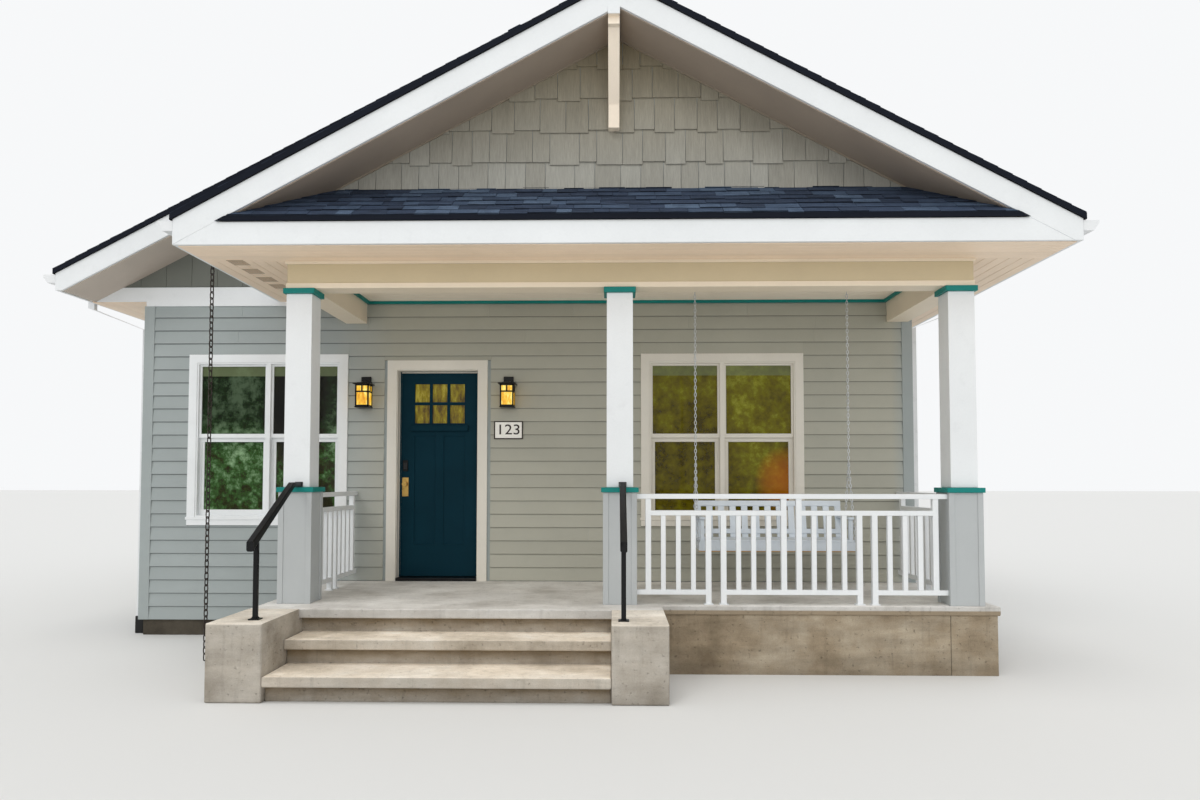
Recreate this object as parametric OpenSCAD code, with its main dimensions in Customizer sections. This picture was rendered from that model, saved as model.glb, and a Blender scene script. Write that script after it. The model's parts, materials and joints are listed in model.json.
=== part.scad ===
// One storey bungalow with a gabled front porch, in millimetres.
// X runs to the right as seen from the street, Y into the house and Z up.
// The origin is on the ground, under the centre of the whole outline.

/* [House body] */
// Width over the side walls
house_w = 8850; // [7500:50:11000]
// Depth over the front and rear walls
house_d = 11000; // [9500:50:14000]
// Thickness of the outer walls
wall_t = 170; // [140:5:220]
// Height of the porch and house floors above the ground
floor_z = 630; // [540:10:780]
// Top of the visible foundation, where the siding starts
foundation_h = 180; // [100:10:250]
// Thickness of the foundation walls
foundation_t = 200; // [150:10:300]
// Setback of the foundation behind the siding
foundation_inset = 20; // [0:5:50]
// Thickness of the house floor
floor_t = 220; // [150:10:300]
// Width of a corner board
corner_w = 100; // [80:5:140]
// Thickness of a corner board
corner_t = 20; // [15:1:30]

/* [Roof] */
// Pitch of the main roof, in degrees
roof_pitch = 27.5; // [22:0.1:34]
// Pitch of the porch roof, in degrees
porch_pitch = 28.2; // [22:0.1:34]
// Overhang of the side eaves beyond the side walls
eave_overhang = 685; // [500:5:800]
// Overhang of the main rakes beyond the front and rear walls
rake_overhang = 630; // [400:10:800]
// Underside of the level eave soffits
eave_z = 3865; // [3700:5:4200]
// Height of the plumb fascia at the eaves
fascia_h = 190; // [160:5:240]
// Height of a barge board, measured plumb
barge_h = 230; // [200:5:280]
// Thickness of barge boards and fascias
barge_t = 35; // [25:1:50]
// Thickness of the level soffit boards and the porch ceiling
soffit_t = 20; // [12:1:30]
// Thickness of the shingle layer, measured plumb
shingle_t = 55; // [25:1:70]
// Reach of the shingles past barge boards and fascias
shingle_lip = 20; // [10:1:40]

/* [Gutters] */
// Width of a gutter at its open top
gutter_w = 135; // [100:5:160]
// Height of a gutter
gutter_h = 90; // [70:5:120]
// Drop of the gutter's rim below the top of the fascia
gutter_drop = 15; // [5:1:40]
// Wall of the gutters
gutter_wall = 4; // [2:0.5:6]
// Width of a downspout along the wall
spout_w = 60; // [50:5:100]
// Depth of a downspout off the wall
spout_d = 75; // [40:5:90]
// Gap between a downspout and the wall
spout_gap = 40; // [20:5:60]
// Height of the black pipe that a downspout stands in
boot_h = 200; // [120:10:300]

/* [Porch] */
// Offset of the porch ridge from the main ridge
porch_offset = 1075; // [700:5:1500]
// Setback of the porch's left eave from the mirror image of its right one
porch_left_in = 75; // [0:5:150]
// Depth from the front wall to the face of the porch beam
porch_d = 1830; // [1600:10:2400]
// Overhang of the porch gable in front of the beam
porch_overhang = 575; // [400:5:700]
// Height of the front fascia under the porch gable
porch_fascia_h = 205; // [160:5:260]
// Width of the porch beams
beam_w = 230; // [180:5:300]
// Height of the porch beams
beam_h = 265; // [200:5:320]
// Thickness of the shake wall in the porch gable
gable_wall_t = 100; // [80:5:150]
// Rise of the skirt roof from its edge to the gable wall
pent_rise = 430; // [300:10:500]
// Thickness of the skirt roof, measured plumb
pent_t = 45; // [30:1:70]
// Side of the teal moulding around the ceiling
crown = 38; // [25:1:60]

/* [Columns] */
// Offset of the middle column from the main ridge
middle_column = 1090; // [700:10:1500]
// Spacing from the left column to the middle one
left_bay = 3040; // [2500:10:3300]
// Spacing from the middle column to the right one
right_bay = 3185; // [2800:5:3500]
// Side of the column pedestals
pedestal_w = 300; // [260:5:380]
// Height of the pedestals above the floor
pedestal_h = 1039; // [900:1:1200]
// Side of the ledge on a pedestal
ledge_w = 350; // [320:5:440]
// Thickness of the ledge
ledge_t = 46; // [40:1:80]
// Side of a column shaft at its foot
shaft_foot = 248; // [200:2:300]
// Side of a column shaft at its head
shaft_head = 244; // [180:2:280]
// Side of the capital under the beam
capital_w = 300; // [260:5:360]
// Thickness of the capital
capital_t = 50; // [35:5:70]

/* [Porch floor and steps] */
// Margin of the porch floor beside the pedestals
floor_margin = 140; // [80:5:200]
// Thickness of the porch floor's edge
slab_t = 85; // [60:5:120]
// Porch floor in front of the beam's face, beside the steps
slab_lip = 65; // [40:5:120]
// Thickness of the porch's stem walls
stem_t = 200; // [150:10:260]
// Setback of the stem walls behind the floor's edge
stem_inset = 20; // [10:1:40]
// Reach of the right cheek wall to the left of the middle column's middle
cheek_inset = 75; // [30:5:150]
// Width of a cheek wall
cheek_w = 460; // [350:10:480]
// Depth of the cheek walls in front of the landing
cheek_d = 825; // [700:5:1000]
// Porch floor in front of the beam's face, at the steps
landing_lip = 342; // [250:2:450]
// Depth of the upper tread, from nosing to nosing
tread_d = 365; // [300:5:420]
// Overhang of a tread over its riser
nosing = 70; // [20:5:100]
// Number of risers up to the porch floor
risers = 3; // [2:1:4]

/* [Railings] */
// Height of the top rail above the porch floor
rail_h = 1025; // [900:5:1100]
// Width of the top rail
rail_w = 62; // [45:1:90]
// Thickness of a rail
rail_t = 46; // [35:1:60]
// Drop from the top rail to the sub rail, top to top
subrail_drop = 155; // [110:5:200]
// Height of the bottom rail's top above the floor
bottom_rail_h = 137; // [100:1:180]
// Side of a railing post
post_side = 52; // [40:1:70]
// Side of a baluster
baluster_side = 44; // [30:1:55]
// Setback of the front railing's middle behind the beam's face
railing_setback = 30; // [20:1:80]
// Side of a foot plate under a railing post
foot_w = 84; // [60:1:110]
// Thickness of a foot plate
foot_t = 10; // [6:1:16]

/* [Handrails] */
// Width of the handrail tube
grip_w = 58; // [35:1:70]
// Height of the handrail tube, measured plumb
grip_h = 85; // [50:1:110]
// Height of the handrail's lower end above the cheek wall, at its middle
grip_low = 610; // [500:5:750]
// Height of the handrail's level part above the floor, at its middle
grip_high = 1110; // [1100:5:1250]
// Offset of a handrail to the right of its column's middle
grip_shift = 25; // [0:1:40]
// Height of the handrail's level part
grip_level_h = 40; // [30:1:50]
// Length of the level part in front of the column shaft
grip_level = 190; // [120:5:260]
// Setback of the handrail's lower end behind the cheek wall's face
grip_setback = 90; // [40:5:200]
// Distance of the handrail's post behind its lower end
grip_post_in = 130; // [90:5:220]
// Side of the handrail's post
grip_post = 40; // [35:1:60]
// Side of the handrail's base plate
grip_plate = 88; // [80:1:140]

/* [Door] */
// Width of the door leaf
door_w = 914; // [812:2:1000]
// Height of the door leaf
door_h = 2375; // [2030:5:2440]
// Thickness of the door leaf
door_t = 45; // [40:1:55]
// Offset of the door's middle from the main ridge
door_x = -1005; // [-1300:5:-500]
// Running gap around the door leaf
door_gap = 5; // [5:0.5:7]
// Thickness of the door jambs
jamb_t = 32; // [25:1:45]
// Width of the casings round the door
door_casing = 110; // [80:5:140]
// Thickness of the casings round doors and windows
casing_t = 25; // [18:1:40]
// Height of the threshold
threshold_h = 35; // [20:1:45]
// Width of the door's outer stiles and top rail
stile_w = 165; // [120:5:200]
// Width of one pane in the door
lite_w = 172; // [120:2:200]
// Height of one pane in the door
lite_h = 213; // [160:1:260]
// Width of the bars between the door's panes
lite_bar = 34; // [24:1:50]
// Distance of the panes below the door's top
lite_drop = 136; // [110:2:180]
// Radius of a hinge barrel
hinge_r = 7; // [6:0.5:9]
// Backset of the lock from the door's edge
backset = 62; // [55:1:70]

/* [Windows] */
// Width over the casing of a twin window
window_w = 1860; // [1500:10:2100]
// Height over the casing of a window
window_h = 1980; // [1500:10:2100]
// Height of a window's lower casing edge above the floor
window_up = 632; // [500:2:900]
// Width of the casings round the windows
window_casing = 95; // [60:5:120]
// Width of the post between the twin units
mullion_w = 16; // [10:2:140]
// Width of the frame and sash at the sides and over the glass
sash_w = 41; // [34:1:100]
// Height of the frame and sash under the glass
sash_foot = 84; // [60:1:110]
// Height of the meeting rail
meeting_rail = 92; // [50:1:100]
// Depth of the window frame
frame_d = 110; // [90:2:130]
// Step of the lower sash behind the upper one
sash_step = 34; // [20:1:45]
// Thickness of the glass
glass_t = 8; // [6:1:12]
// Offset of the left front window's middle from the main ridge
window_left_x = -2975; // [-3200:5:-2900]
// Offset of the right front window's middle from the main ridge
window_right_x = 2273; // [1900:5:2500]

/* [Porch fittings] */
// Distance of a lantern from the door's middle
lantern_x = 825; // [760:5:900]
// Width of a lantern
lantern_w = 200; // [140:5:240]
// Height of a lantern
lantern_h = 370; // [280:5:420]
// Distance of a lantern's middle from the wall
lantern_reach = 124; // [110:2:160]
// Height of the lanterns' middle above the floor
lantern_up = 2165; // [1800:5:2300]
// Width of the number plaque
plaque_w = 340; // [250:5:400]
// Height of the number plaque
plaque_h = 215; // [150:5:260]
// Height of the plaque's middle above the floor
plaque_up = 1730; // [1500:5:1800]
// Width of the bracket in the gable's peak
bracket_w = 104; // [80:2:140]
// Height of the bracket's leg on the gable wall
bracket_leg = 850; // [600:10:1000]
// Offset of the bracket's middle from the porch ridge
bracket_shift = -40; // [-60:5:60]
// Thickness of the bracket's outlooker, leg and brace
bracket_beam = 95; // [70:5:120]
// Diameter over the rain chain's links
rain_chain_dia = 36; // [24:1:60]
// Distance of the rain chain in front of the house wall
rain_chain_y = 1540; // [900:10:1600]
// Height of the rain chain's end above the ground
rain_chain_end = 40; // [20:5:200]

/* [Porch swing] */
// Width of the swing over its arms
swing_w = 1560; // [1200:10:1800]
// Depth of the seat
seat_d = 500; // [420:5:560]
// Height of the seat above the floor
seat_h = 550; // [400:5:600]
// Height of the seat frame's rails
seat_rail = 110; // [70:5:130]
// Height of the back above the seat
back_h = 415; // [350:5:520]
// Lean of the back behind upright, in degrees
back_lean = 12; // [5:1:18]
// Distance of the swing's middle in front of the house wall
swing_y = 860; // [820:5:900]
// Width of one back slat
slat_w = 66; // [50:1:90]
// Number of back slats
slats = 13; // [9:1:15]
// Distance between the two chains
chain_span = 1590; // [1240:10:1800]
// Height of the joint where each chain divides, above the floor
fork_h = 1330; // [1200:10:1600]
// Side of the chains
chain_side = 14; // [10:1:20]

/* [Hidden] */

// Outline: everything is drawn with Y = 0 on the front wall's face
front_reach = porch_d + landing_lip + cheek_d;
rear_reach = house_d + rake_overhang + shingle_lip;
wall_y = (front_reach - rear_reach) / 2;
half_w = house_w / 2;

// Roof planes
slope = tan(roof_pitch);
porch_slope = tan(porch_pitch);
seat_play = 0.2;
room_above = 200;
half_roof = half_w + eave_overhang;
deck_eave_z = eave_z + fascia_h;
under_eave_z = deck_eave_z - barge_h;
porch_half = half_roof - porch_offset;
porch_left = porch_offset - porch_half + porch_left_in;
porch_left_z = deck_eave_z + porch_left_in * porch_slope;
porch_front = porch_d + porch_overhang;
main_front = rake_overhang;
frieze_h = 220;
frieze_z = under_eave_z - 15;
frieze_top = frieze_z + frieze_h;
gable_eave_z = under_eave_z - seat_play;

// Gutters and downspouts
gutter_foot = gutter_w * 0.66;
gutter_lip = gutter_h * 0.3;
spout_y = corner_w + 20;
spout_inset = 20;
spout_stub = 60;
spout_run = 270;
strap_h = 40;
strap_drop = 300;
strap_margin = 10;
boot_rim = 9;

// Bracket
brace_setback = 60;
brace_rise = 220;

// Columns
beam_z = eave_z - beam_h;
column_y = -(porch_d - beam_w / 2);
columns = [middle_column - left_bay, middle_column, middle_column + right_bay];
ledge_z = floor_z + pedestal_h;
shaft_z = ledge_z + ledge_t;
capital_z = beam_z - capital_t;

// Porch floor
floor_left = columns[0] - pedestal_w / 2 - floor_margin;
floor_right = columns[2] + pedestal_w / 2 + floor_margin;
cheek_left_x = floor_left;
step_left = cheek_left_x + cheek_w;
step_right = columns[1] - cheek_inset;
landing_right = step_right + cheek_w;
slab_front = porch_d + slab_lip;
landing_front = porch_d + landing_lip;
rise = floor_z / risers;
tread_first = (cheek_d - (risers - 2) * tread_d);

// Door
opening_w = door_w + 2 * door_gap;
opening_h = threshold_h + door_h + 2 * door_gap;
door_z = floor_z + threshold_h + door_gap;
door_hole_w = opening_w + 2 * jamb_t;
door_hole_top = floor_z + opening_h + jamb_t;
door_back = wall_t;
door_front = door_back - door_t;
door_hinge_x = door_x + door_w / 2 + door_gap / 2;
hinge_y = door_back + hinge_r + 1;
knuckle = 34;
hinge_leaf = 27;
hinge_play = 0.3;
lites_w = 3 * lite_w + 2 * lite_bar;
lites_h = 2 * lite_h + lite_bar;
lites_z = door_z + door_h - lite_drop - lites_h;
door_bar = 100;
door_foot_rail = 365;
panel_drop = 58;
panel_recess = 12;
shelf_gap = 26;
shelf_h = 66;
shelf_d = 40;
shelf_reach = 45;
stop_t = 15;
stop_d = 20;
casing_reveal = 8;

// Lock: a plate with a knob in front, a keypad above and a knob inside
lock_plate_w = 72;
lock_plate_h = 218;
lock_plate_t = 8;
lock_plate_up = 966;
knob_up = 1109;
knob_r = 28;
knob_t = 28;
knob_reach = 66;
stem_r = 12;
keypad_w = 58;
keypad_h = 128;
keypad_t = 22;
keypad_up = 1322;

// Windows
sill_reach = 10;
sill_t = 30;
frame_rim = 18;
hole_w = window_w - 2 * window_casing;
hole_h = window_h - 2 * window_casing;
hole_z = floor_z + window_up + window_casing;
unit_w = (hole_w - mullion_w) / 2;
pane_w = unit_w - 2 * sash_w;
pane_h = (hole_h - sash_w - sash_foot - meeting_rail) / 2;
side_window_y = [house_d * 0.2, house_d * 0.5, house_d * 0.8];
rear_window_x = [-half_w * 0.5, half_w * 0.5];

// Swing
swing_x = (columns[1] + columns[2]) / 2;
swing_pivot_z = eave_z - 50;
swing_seat_z = floor_z + seat_h;
chain_xs = [swing_x - chain_span / 2, swing_x + chain_span / 2];
chain_inset = 30;
eye_r = 12;
pin_r = 5;
pin_play = 0.05;

// Colours
siding_colour = "#9aa29f";
trim_colour = "#dfe3e6";
soffit_colour = "#b9a48e";
shingle_colour = "#1c2530";
concrete_colour = "#b3aa9c";
teal_colour = "#00857c";
black_colour = "#17191b";
door_colour = "#0b3244";
glass_colour = "#5f6a4a";
swing_colour = "#c9d2da";

// Places
module at_wall() {
    translate([0, wall_y, 0]) children();
}

// A plate drawn in X and Z, running from y0 to y1
module plate(y0, y1) {
    translate([0, y1, 0]) rotate([90, 0, 0]) linear_extrude(y1 - y0) children();
}

// A box between two corners
module block(low, high) {
    translate(low) cube(high - low);
}

// A piece repeated as its mirror image on the other side of X = 0
module both_sides() {
    children();
    mirror([1, 0, 0]) children();
}

// Half roof sections in X and Z, drawn for a ridge at X = 0
function roof_line(x, z, half, grade = slope) = z + (half - abs(x)) * grade;

// Section of a roof slope over its right half, cut level at bottom_z
module slope_section(half, grade, low_z, high_z, bottom_z, plumb_x) {
    cut_x = min(plumb_x, half - max(0, (bottom_z - low_z) / grade));
    polygon([
        [0, roof_line(0, low_z, half, grade)],
        [cut_x, roof_line(cut_x, low_z, half, grade)],
        [plumb_x, max(bottom_z, roof_line(plumb_x, low_z, half, grade))],
        [plumb_x, roof_line(plumb_x, high_z, half, grade)],
        [0, roof_line(0, high_z, half, grade)]
    ]);
}

module deck_section(half, grade) {
    slope_section(half, grade, under_eave_z, deck_eave_z, eave_z + soffit_t, half - barge_t);
}

module barge_section(half, grade) {
    slope_section(half, grade, under_eave_z, deck_eave_z, eave_z, half);
}

module shingle_section(half, grade) {
    low_z = deck_eave_z + seat_play;
    high_z = deck_eave_z + shingle_t;
    edge_x = half + shingle_lip;
    polygon([
        [0, roof_line(0, low_z, half, grade)],
        [edge_x, roof_line(edge_x, low_z, half, grade)],
        [edge_x, roof_line(edge_x, high_z, half, grade)],
        [0, roof_line(0, high_z, half, grade)]
    ]);
}

// Foundation and floor
module foundation_wall() color(concrete_colour) at_wall() {
    difference() {
        block([foundation_inset - half_w, foundation_inset, 0],
              [half_w - foundation_inset, house_d - foundation_inset, foundation_h]);
        inner = foundation_inset + foundation_t;
        block([inner - half_w, inner, -1], [half_w - inner, house_d - inner, foundation_h + 1]);
    }
}

module house_floor() color("#8c6a45") at_wall() {
    block([wall_t - half_w, wall_t, floor_z - floor_t],
          [half_w - wall_t, house_d - wall_t, floor_z]);
}

// Walls
module window_holes(xs, y0, y1) {
    for (x = xs) block([x - hole_w / 2, y0, hole_z], [x + hole_w / 2, y1, hole_z + hole_h]);
}

module front_wall_left() color(siding_colour) at_wall() {
    difference() {
        block([-half_w, 0, foundation_h], [door_x - door_hole_w / 2, wall_t, frieze_top]);
        window_holes([window_left_x], -1, wall_t + 1);
    }
}

module front_wall_right() color(siding_colour) at_wall() {
    difference() {
        block([door_x + door_hole_w / 2, 0, foundation_h], [half_w, wall_t, frieze_top]);
        window_holes([window_right_x], -1, wall_t + 1);
    }
}

module front_wall_door_bay() color(siding_colour) at_wall() {
    left = door_x - door_hole_w / 2;
    right = door_x + door_hole_w / 2;
    block([left, 0, door_hole_top], [right, wall_t, frieze_top]);
    block([left, 0, foundation_h], [right, wall_t, floor_z]);
}

// A side wall on the right: its top stands under the roof slope
module side_wall() {
    top_z = roof_line(half_w, gable_eave_z, half_roof);
    difference() {
        block([half_w - wall_t, wall_t, foundation_h], [half_w, house_d - wall_t, top_z]);
        for (y = side_window_y)
            block([half_w - wall_t - 1, y - hole_w / 2, hole_z],
                  [half_w + 1, y + hole_w / 2, hole_z + hole_h]);
    }
}

module left_wall() color(siding_colour) at_wall() mirror([1, 0, 0]) side_wall();

module right_wall() color(siding_colour) at_wall() side_wall();

module rear_wall() color(siding_colour) at_wall() {
    difference() {
        block([-half_w, house_d - wall_t, foundation_h], [half_w, house_d, frieze_top]);
        window_holes(rear_window_x, house_d - wall_t - 1, house_d + 1);
    }
}

// The gable starts above the frieze and closes the boxed eaves at its ends
module gable_section() {
    end_x = half_roof - (frieze_top - gable_eave_z) / slope;
    polygon([
        [-end_x, frieze_top],
        [end_x, frieze_top],
        [0, roof_line(0, gable_eave_z, half_roof)]
    ]);
}

module front_gable_wall() color(siding_colour) at_wall()
    plate(0, wall_t) gable_section();

module rear_gable_wall() color(siding_colour) at_wall()
    plate(house_d - wall_t, house_d) gable_section();

// Frieze with the closed end of the boxed eave, drawn at the right corner
module frieze_section(inner_x) {
    top_x = half_roof - (frieze_top - gable_eave_z) / slope;
    foot_x = half_roof - (eave_z - gable_eave_z) / slope;
    polygon([
        [inner_x, frieze_z],
        [inner_x, frieze_top],
        [top_x, frieze_top],
        [foot_x, eave_z],
        [half_w, eave_z],
        [half_w, frieze_z]
    ]);
}

module frieze_boards() color(trim_colour) at_wall() {
    plate(-casing_t, 0) mirror([1, 0]) frieze_section(-porch_left);
    block([porch_left, -casing_t, frieze_z], [columns[0] - beam_w / 2, 0, eave_z]);
    plate(house_d, house_d + casing_t) {
        frieze_section(0);
        mirror([1, 0]) frieze_section(0);
    }
}

// Corner boards: an L round each corner of the house
module corner_board(top_z) {
    difference() {
        block([half_w - corner_w, -corner_t, foundation_h], [half_w + corner_t, corner_w, top_z]);
        block([half_w - corner_w - 1, 0, foundation_h - 1], [half_w, corner_w + 1, top_z + 1]);
    }
}

module corner_boards() color(siding_colour) at_wall() {
    mirror([1, 0, 0]) corner_board(frieze_z);
    // Beside the porch the front board ends at its floor and its beam
    difference() {
        corner_board(frieze_z);
        block([0, -2 * casing_t, 0], [floor_right, 0, floor_z]);
        block([0, -2 * casing_t, beam_z], [columns[2] + beam_w / 2, 0, frieze_z + 1]);
    }
    both_sides() translate([0, house_d, 0]) mirror([0, 1, 0]) corner_board(frieze_z);
}

// Main roof
module main_deck() {
    plate(barge_t - main_front, rear_reach - shingle_lip - barge_t) deck_section(half_roof, slope);
}

module main_shingles() {
    plate(-main_front - shingle_lip, rear_reach) shingle_section(half_roof, slope);
}

module main_roof_left() color(soffit_colour) at_wall() mirror([1, 0, 0]) main_deck();

// On the right the deck runs on to the porch's, beside the porch ridge
module main_roof_right() color(soffit_colour) at_wall() {
    main_deck();
    plate(-main_front - shingle_lip, barge_t - main_front) intersection() {
        deck_section(half_roof, slope);
        translate([porch_offset, 0]) square([half_roof, 4 * eave_z]);
    }
}

module main_shingles_left() color(shingle_colour) at_wall() mirror([1, 0, 0]) main_shingles();

module main_shingles_right() color(shingle_colour) at_wall() main_shingles();

module main_barge_boards() color(trim_colour) at_wall() {
    plate(-main_front, barge_t - main_front) {
        mirror([1, 0]) barge_section(half_roof, slope);
        difference() {
            barge_section(half_roof, slope);
            translate([porch_offset, 0]) square([half_roof, 4 * eave_z]);
            porch_envelope();
        }
    }
    rear_y = rear_reach - shingle_lip;
    plate(rear_y - barge_t, rear_y) {
        barge_section(half_roof, slope);
        mirror([1, 0]) barge_section(half_roof, slope);
    }
}

// Everything under the top of the porch's shingles, in X and Z
module porch_envelope() {
    reach = porch_half + shingle_lip;
    top = deck_eave_z + shingle_t;
    translate([porch_offset, 0]) polygon([
        [-reach, 0],
        [reach, 0],
        [reach, roof_line(reach, top, porch_half, porch_slope)],
        [0, roof_line(0, top, porch_half, porch_slope)],
        [-reach, roof_line(reach, top, porch_half, porch_slope)]
    ]);
}

// Eaves
module eave_fascias() color(trim_colour) at_wall() {
    x0 = half_roof - barge_t;
    rear_y = rear_reach - shingle_lip - barge_t;
    block([-half_roof, barge_t - main_front, eave_z], [-x0, rear_y, deck_eave_z]);
    block([x0, barge_t - porch_front, eave_z], [half_roof, rear_y, deck_eave_z]);
    block([porch_left, barge_t - porch_front, eave_z], [porch_left + barge_t, 0, porch_left_z]);
}

module eave_soffits() color(soffit_colour) at_wall() {
    x0 = half_roof - barge_t;
    block([-x0, 0, eave_z], [-half_w, house_d, eave_z + soffit_t]);
    block([half_w, 0, eave_z], [x0, house_d, eave_z + soffit_t]);
}

// Gutter profile with its back on X = 0 and its rim on Z = 0
module gutter_profile() {
    polygon([[0, 0], [0, -gutter_h], [gutter_foot, -gutter_h], [gutter_w, -gutter_lip], [gutter_w, 0]]);
}

module gutter_section() {
    corner = gutter_wall * 0.6;
    difference() {
        gutter_profile();
        polygon([
            [gutter_wall, 1],
            [gutter_wall, gutter_wall - gutter_h],
            [gutter_foot - corner, gutter_wall - gutter_h],
            [gutter_w - gutter_wall, corner - gutter_lip],
            [gutter_w - gutter_wall, 1]
        ]);
    }
}

// A gutter along the right eave, with both its ends closed
module gutter(y0, y1) {
    translate([half_roof, 0, deck_eave_z - gutter_drop]) {
        plate(y0, y1) gutter_section();
        for (y = [y0, y1 - gutter_wall]) plate(y, y + gutter_wall) gutter_profile();
    }
}

module gutters() color(trim_colour) at_wall() {
    rear_y = rear_reach - shingle_lip;
    gutter(-porch_front, rear_y);
    mirror([1, 0, 0]) gutter(-main_front, rear_y);
    translate([porch_left + half_roof, 0, porch_left_z - deck_eave_z])
        mirror([1, 0, 0]) gutter(-porch_front, -casing_t);
}

// Downspout from the right gutter to the right wall's front corner
module downspout() {
    top_z = deck_eave_z - gutter_drop - gutter_h;
    knee_z = eave_z - spout_stub;
    wall_z = knee_z - spout_run;
    out_x = half_roof + spout_inset;
    in_x = half_w + spout_gap;
    plate(spout_y, spout_y + spout_w)
        polygon([
            [out_x, top_z],
            [out_x, knee_z],
            [in_x, wall_z],
            [in_x, boot_h],
            [in_x + spout_d, boot_h],
            [in_x + spout_d, wall_z + spout_d * 0.4],
            [out_x + spout_d, knee_z + spout_d * 0.2],
            [out_x + spout_d, top_z]
        ]);
    for (z = [floor_z, wall_z - strap_drop])
        block([half_w, spout_y + strap_margin, z], [in_x, spout_y + spout_w - strap_margin, z + strap_h]);
}

module downspouts() color(trim_colour) at_wall() both_sides() downspout();

module downspout_boots() color(black_colour) at_wall() both_sides() {
    in_x = half_w + spout_gap;
    block([in_x - boot_rim, spout_y - boot_rim, 0],
          [in_x + spout_d + boot_rim, spout_y + spout_w + boot_rim, boot_h]);
}

// Porch roof
module porch_deck(y1) {
    translate([porch_offset, 0, 0])
        plate(barge_t - porch_front, y1) deck_section(porch_half, porch_slope);
}

// Everything that the main roof's right slope takes up, and some room above it
module main_roof_room() {
    plate(-main_front - shingle_lip, 1)
        slope_section(half_roof, slope, gable_eave_z, deck_eave_z + shingle_t + room_above, 0, half_roof);
}

// Everything left of an eave line, beside the porch
module left_of(x) {
    block([-2 * half_roof, -2 * porch_front, 0], [x, 2 * porch_front, 4 * eave_z]);
}

module porch_roof_right() color(soffit_colour) at_wall() porch_deck(-main_front - shingle_lip);

module porch_roof_left() color(soffit_colour) at_wall() difference() {
    translate([2 * porch_offset, 0, 0]) mirror([1, 0, 0]) porch_deck(0);
    main_roof_room();
    left_of(porch_left + barge_t);
}

module porch_shingles_right() color(shingle_colour) at_wall()
    translate([porch_offset, 0, 0])
        plate(-porch_front - shingle_lip, -main_front - shingle_lip)
            shingle_section(porch_half, porch_slope);

module porch_shingles_left() color(shingle_colour) at_wall() difference() {
    translate([porch_offset, 0, 0]) mirror([1, 0, 0])
        plate(-porch_front - shingle_lip, 0) shingle_section(porch_half, porch_slope);
    main_roof_room();
    left_of(porch_left - shingle_lip);
}

module porch_barge_boards() color(trim_colour) at_wall() difference() {
    translate([porch_offset, 0, 0]) plate(-porch_front, barge_t - porch_front) {
        barge_section(porch_half, porch_slope);
        mirror([1, 0]) barge_section(porch_half, porch_slope);
    }
    left_of(porch_left);
}

// Front fascia below the barge boards
module porch_fascia() color(trim_colour) at_wall()
    plate(-porch_front, barge_t - porch_front) intersection() {
        translate([porch_left, eave_z]) square([2 * half_roof, porch_fascia_h]);
        porch_gable_room(eave_z);
    }

// Room under the porch's sloping soffits, in X and Z
module porch_gable_room(bottom_z) {
    end_x = porch_half - (bottom_z - gable_eave_z) / porch_slope;
    translate([porch_offset, 0]) polygon([
        [-end_x, bottom_z],
        [end_x, bottom_z],
        [0, roof_line(0, gable_eave_z, porch_half, porch_slope)]
    ]);
}

module porch_gable_wall() color(siding_colour) at_wall() difference() {
    plate(-porch_d, gable_wall_t - porch_d) porch_gable_room(eave_z + soffit_t);
    left_of(porch_left + barge_t);
}

// Skirt roof between the front fascia and the gable wall
module pent_roof() color(shingle_colour) at_wall() {
    edge_y = -porch_front - shingle_lip;
    edge_z = eave_z + porch_fascia_h;
    intersection() {
        translate([-half_roof, 0, 0]) rotate([90, 0, 90]) linear_extrude(2 * half_roof)
            polygon([
                [edge_y, edge_z],
                [-porch_d, edge_z + pent_rise],
                [-porch_d, edge_z + pent_rise + pent_t],
                [edge_y, edge_z + pent_t]
            ]);
        plate(-porch_front - 2 * shingle_lip, 0) porch_gable_room(eave_z);
    }
}

// Bracket in the peak: an outlooker, a leg on the wall and a brace
module gable_bracket() color(trim_colour) at_wall() {
    peak_z = roof_line(0, under_eave_z, porch_half, porch_slope);
    beam_top = peak_z - (bracket_w / 2 + abs(bracket_shift)) * porch_slope;
    depth = bracket_beam;
    brace = bracket_beam;
    brace_foot = beam_top - bracket_leg + brace_rise;
    wall = -porch_d;
    nose = -porch_front + barge_t;
    x0 = porch_offset + bracket_shift - bracket_w / 2;
    translate([x0, 0, 0]) rotate([90, 0, 90]) linear_extrude(bracket_w) {
        polygon([[nose, beam_top], [nose, beam_top - depth], [wall, beam_top - depth], [wall, beam_top]]);
        polygon([[wall, beam_top], [wall - depth, beam_top],
                 [wall - depth, beam_top - bracket_leg], [wall, beam_top - bracket_leg]]);
        polygon([
            [nose + brace_setback, beam_top - depth],
            [wall - depth, brace_foot],
            [wall - depth, brace_foot + brace],
            [nose + brace_setback + brace, beam_top - depth]
        ]);
    }
}

// Porch ceiling, level from the front fascia to the house wall
module porch_ceiling() color(trim_colour) at_wall()
    block([porch_left + barge_t, barge_t - porch_front, eave_z],
          [half_roof - barge_t, 0, eave_z + soffit_t]);

module porch_beams() color(trim_colour) at_wall() {
    difference() {
        block([columns[0] - beam_w / 2, -porch_d, beam_z], [columns[2] + beam_w / 2, 0, eave_z]);
        block([columns[0] + beam_w / 2, -porch_d + beam_w, beam_z - 1],
              [columns[2] - beam_w / 2, 1, eave_z + 1]);
    }
}

module ceiling_moulding() color(teal_colour) at_wall() {
    x0 = columns[0] + beam_w / 2;
    x1 = columns[2] - beam_w / 2;
    y0 = -porch_d + beam_w;
    difference() {
        block([x0, y0, eave_z - crown], [x1, 0, eave_z]);
        block([x0 + crown, y0 + crown, eave_z - crown - 1], [x1 - crown, -crown, eave_z + 1]);
    }
}

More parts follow.
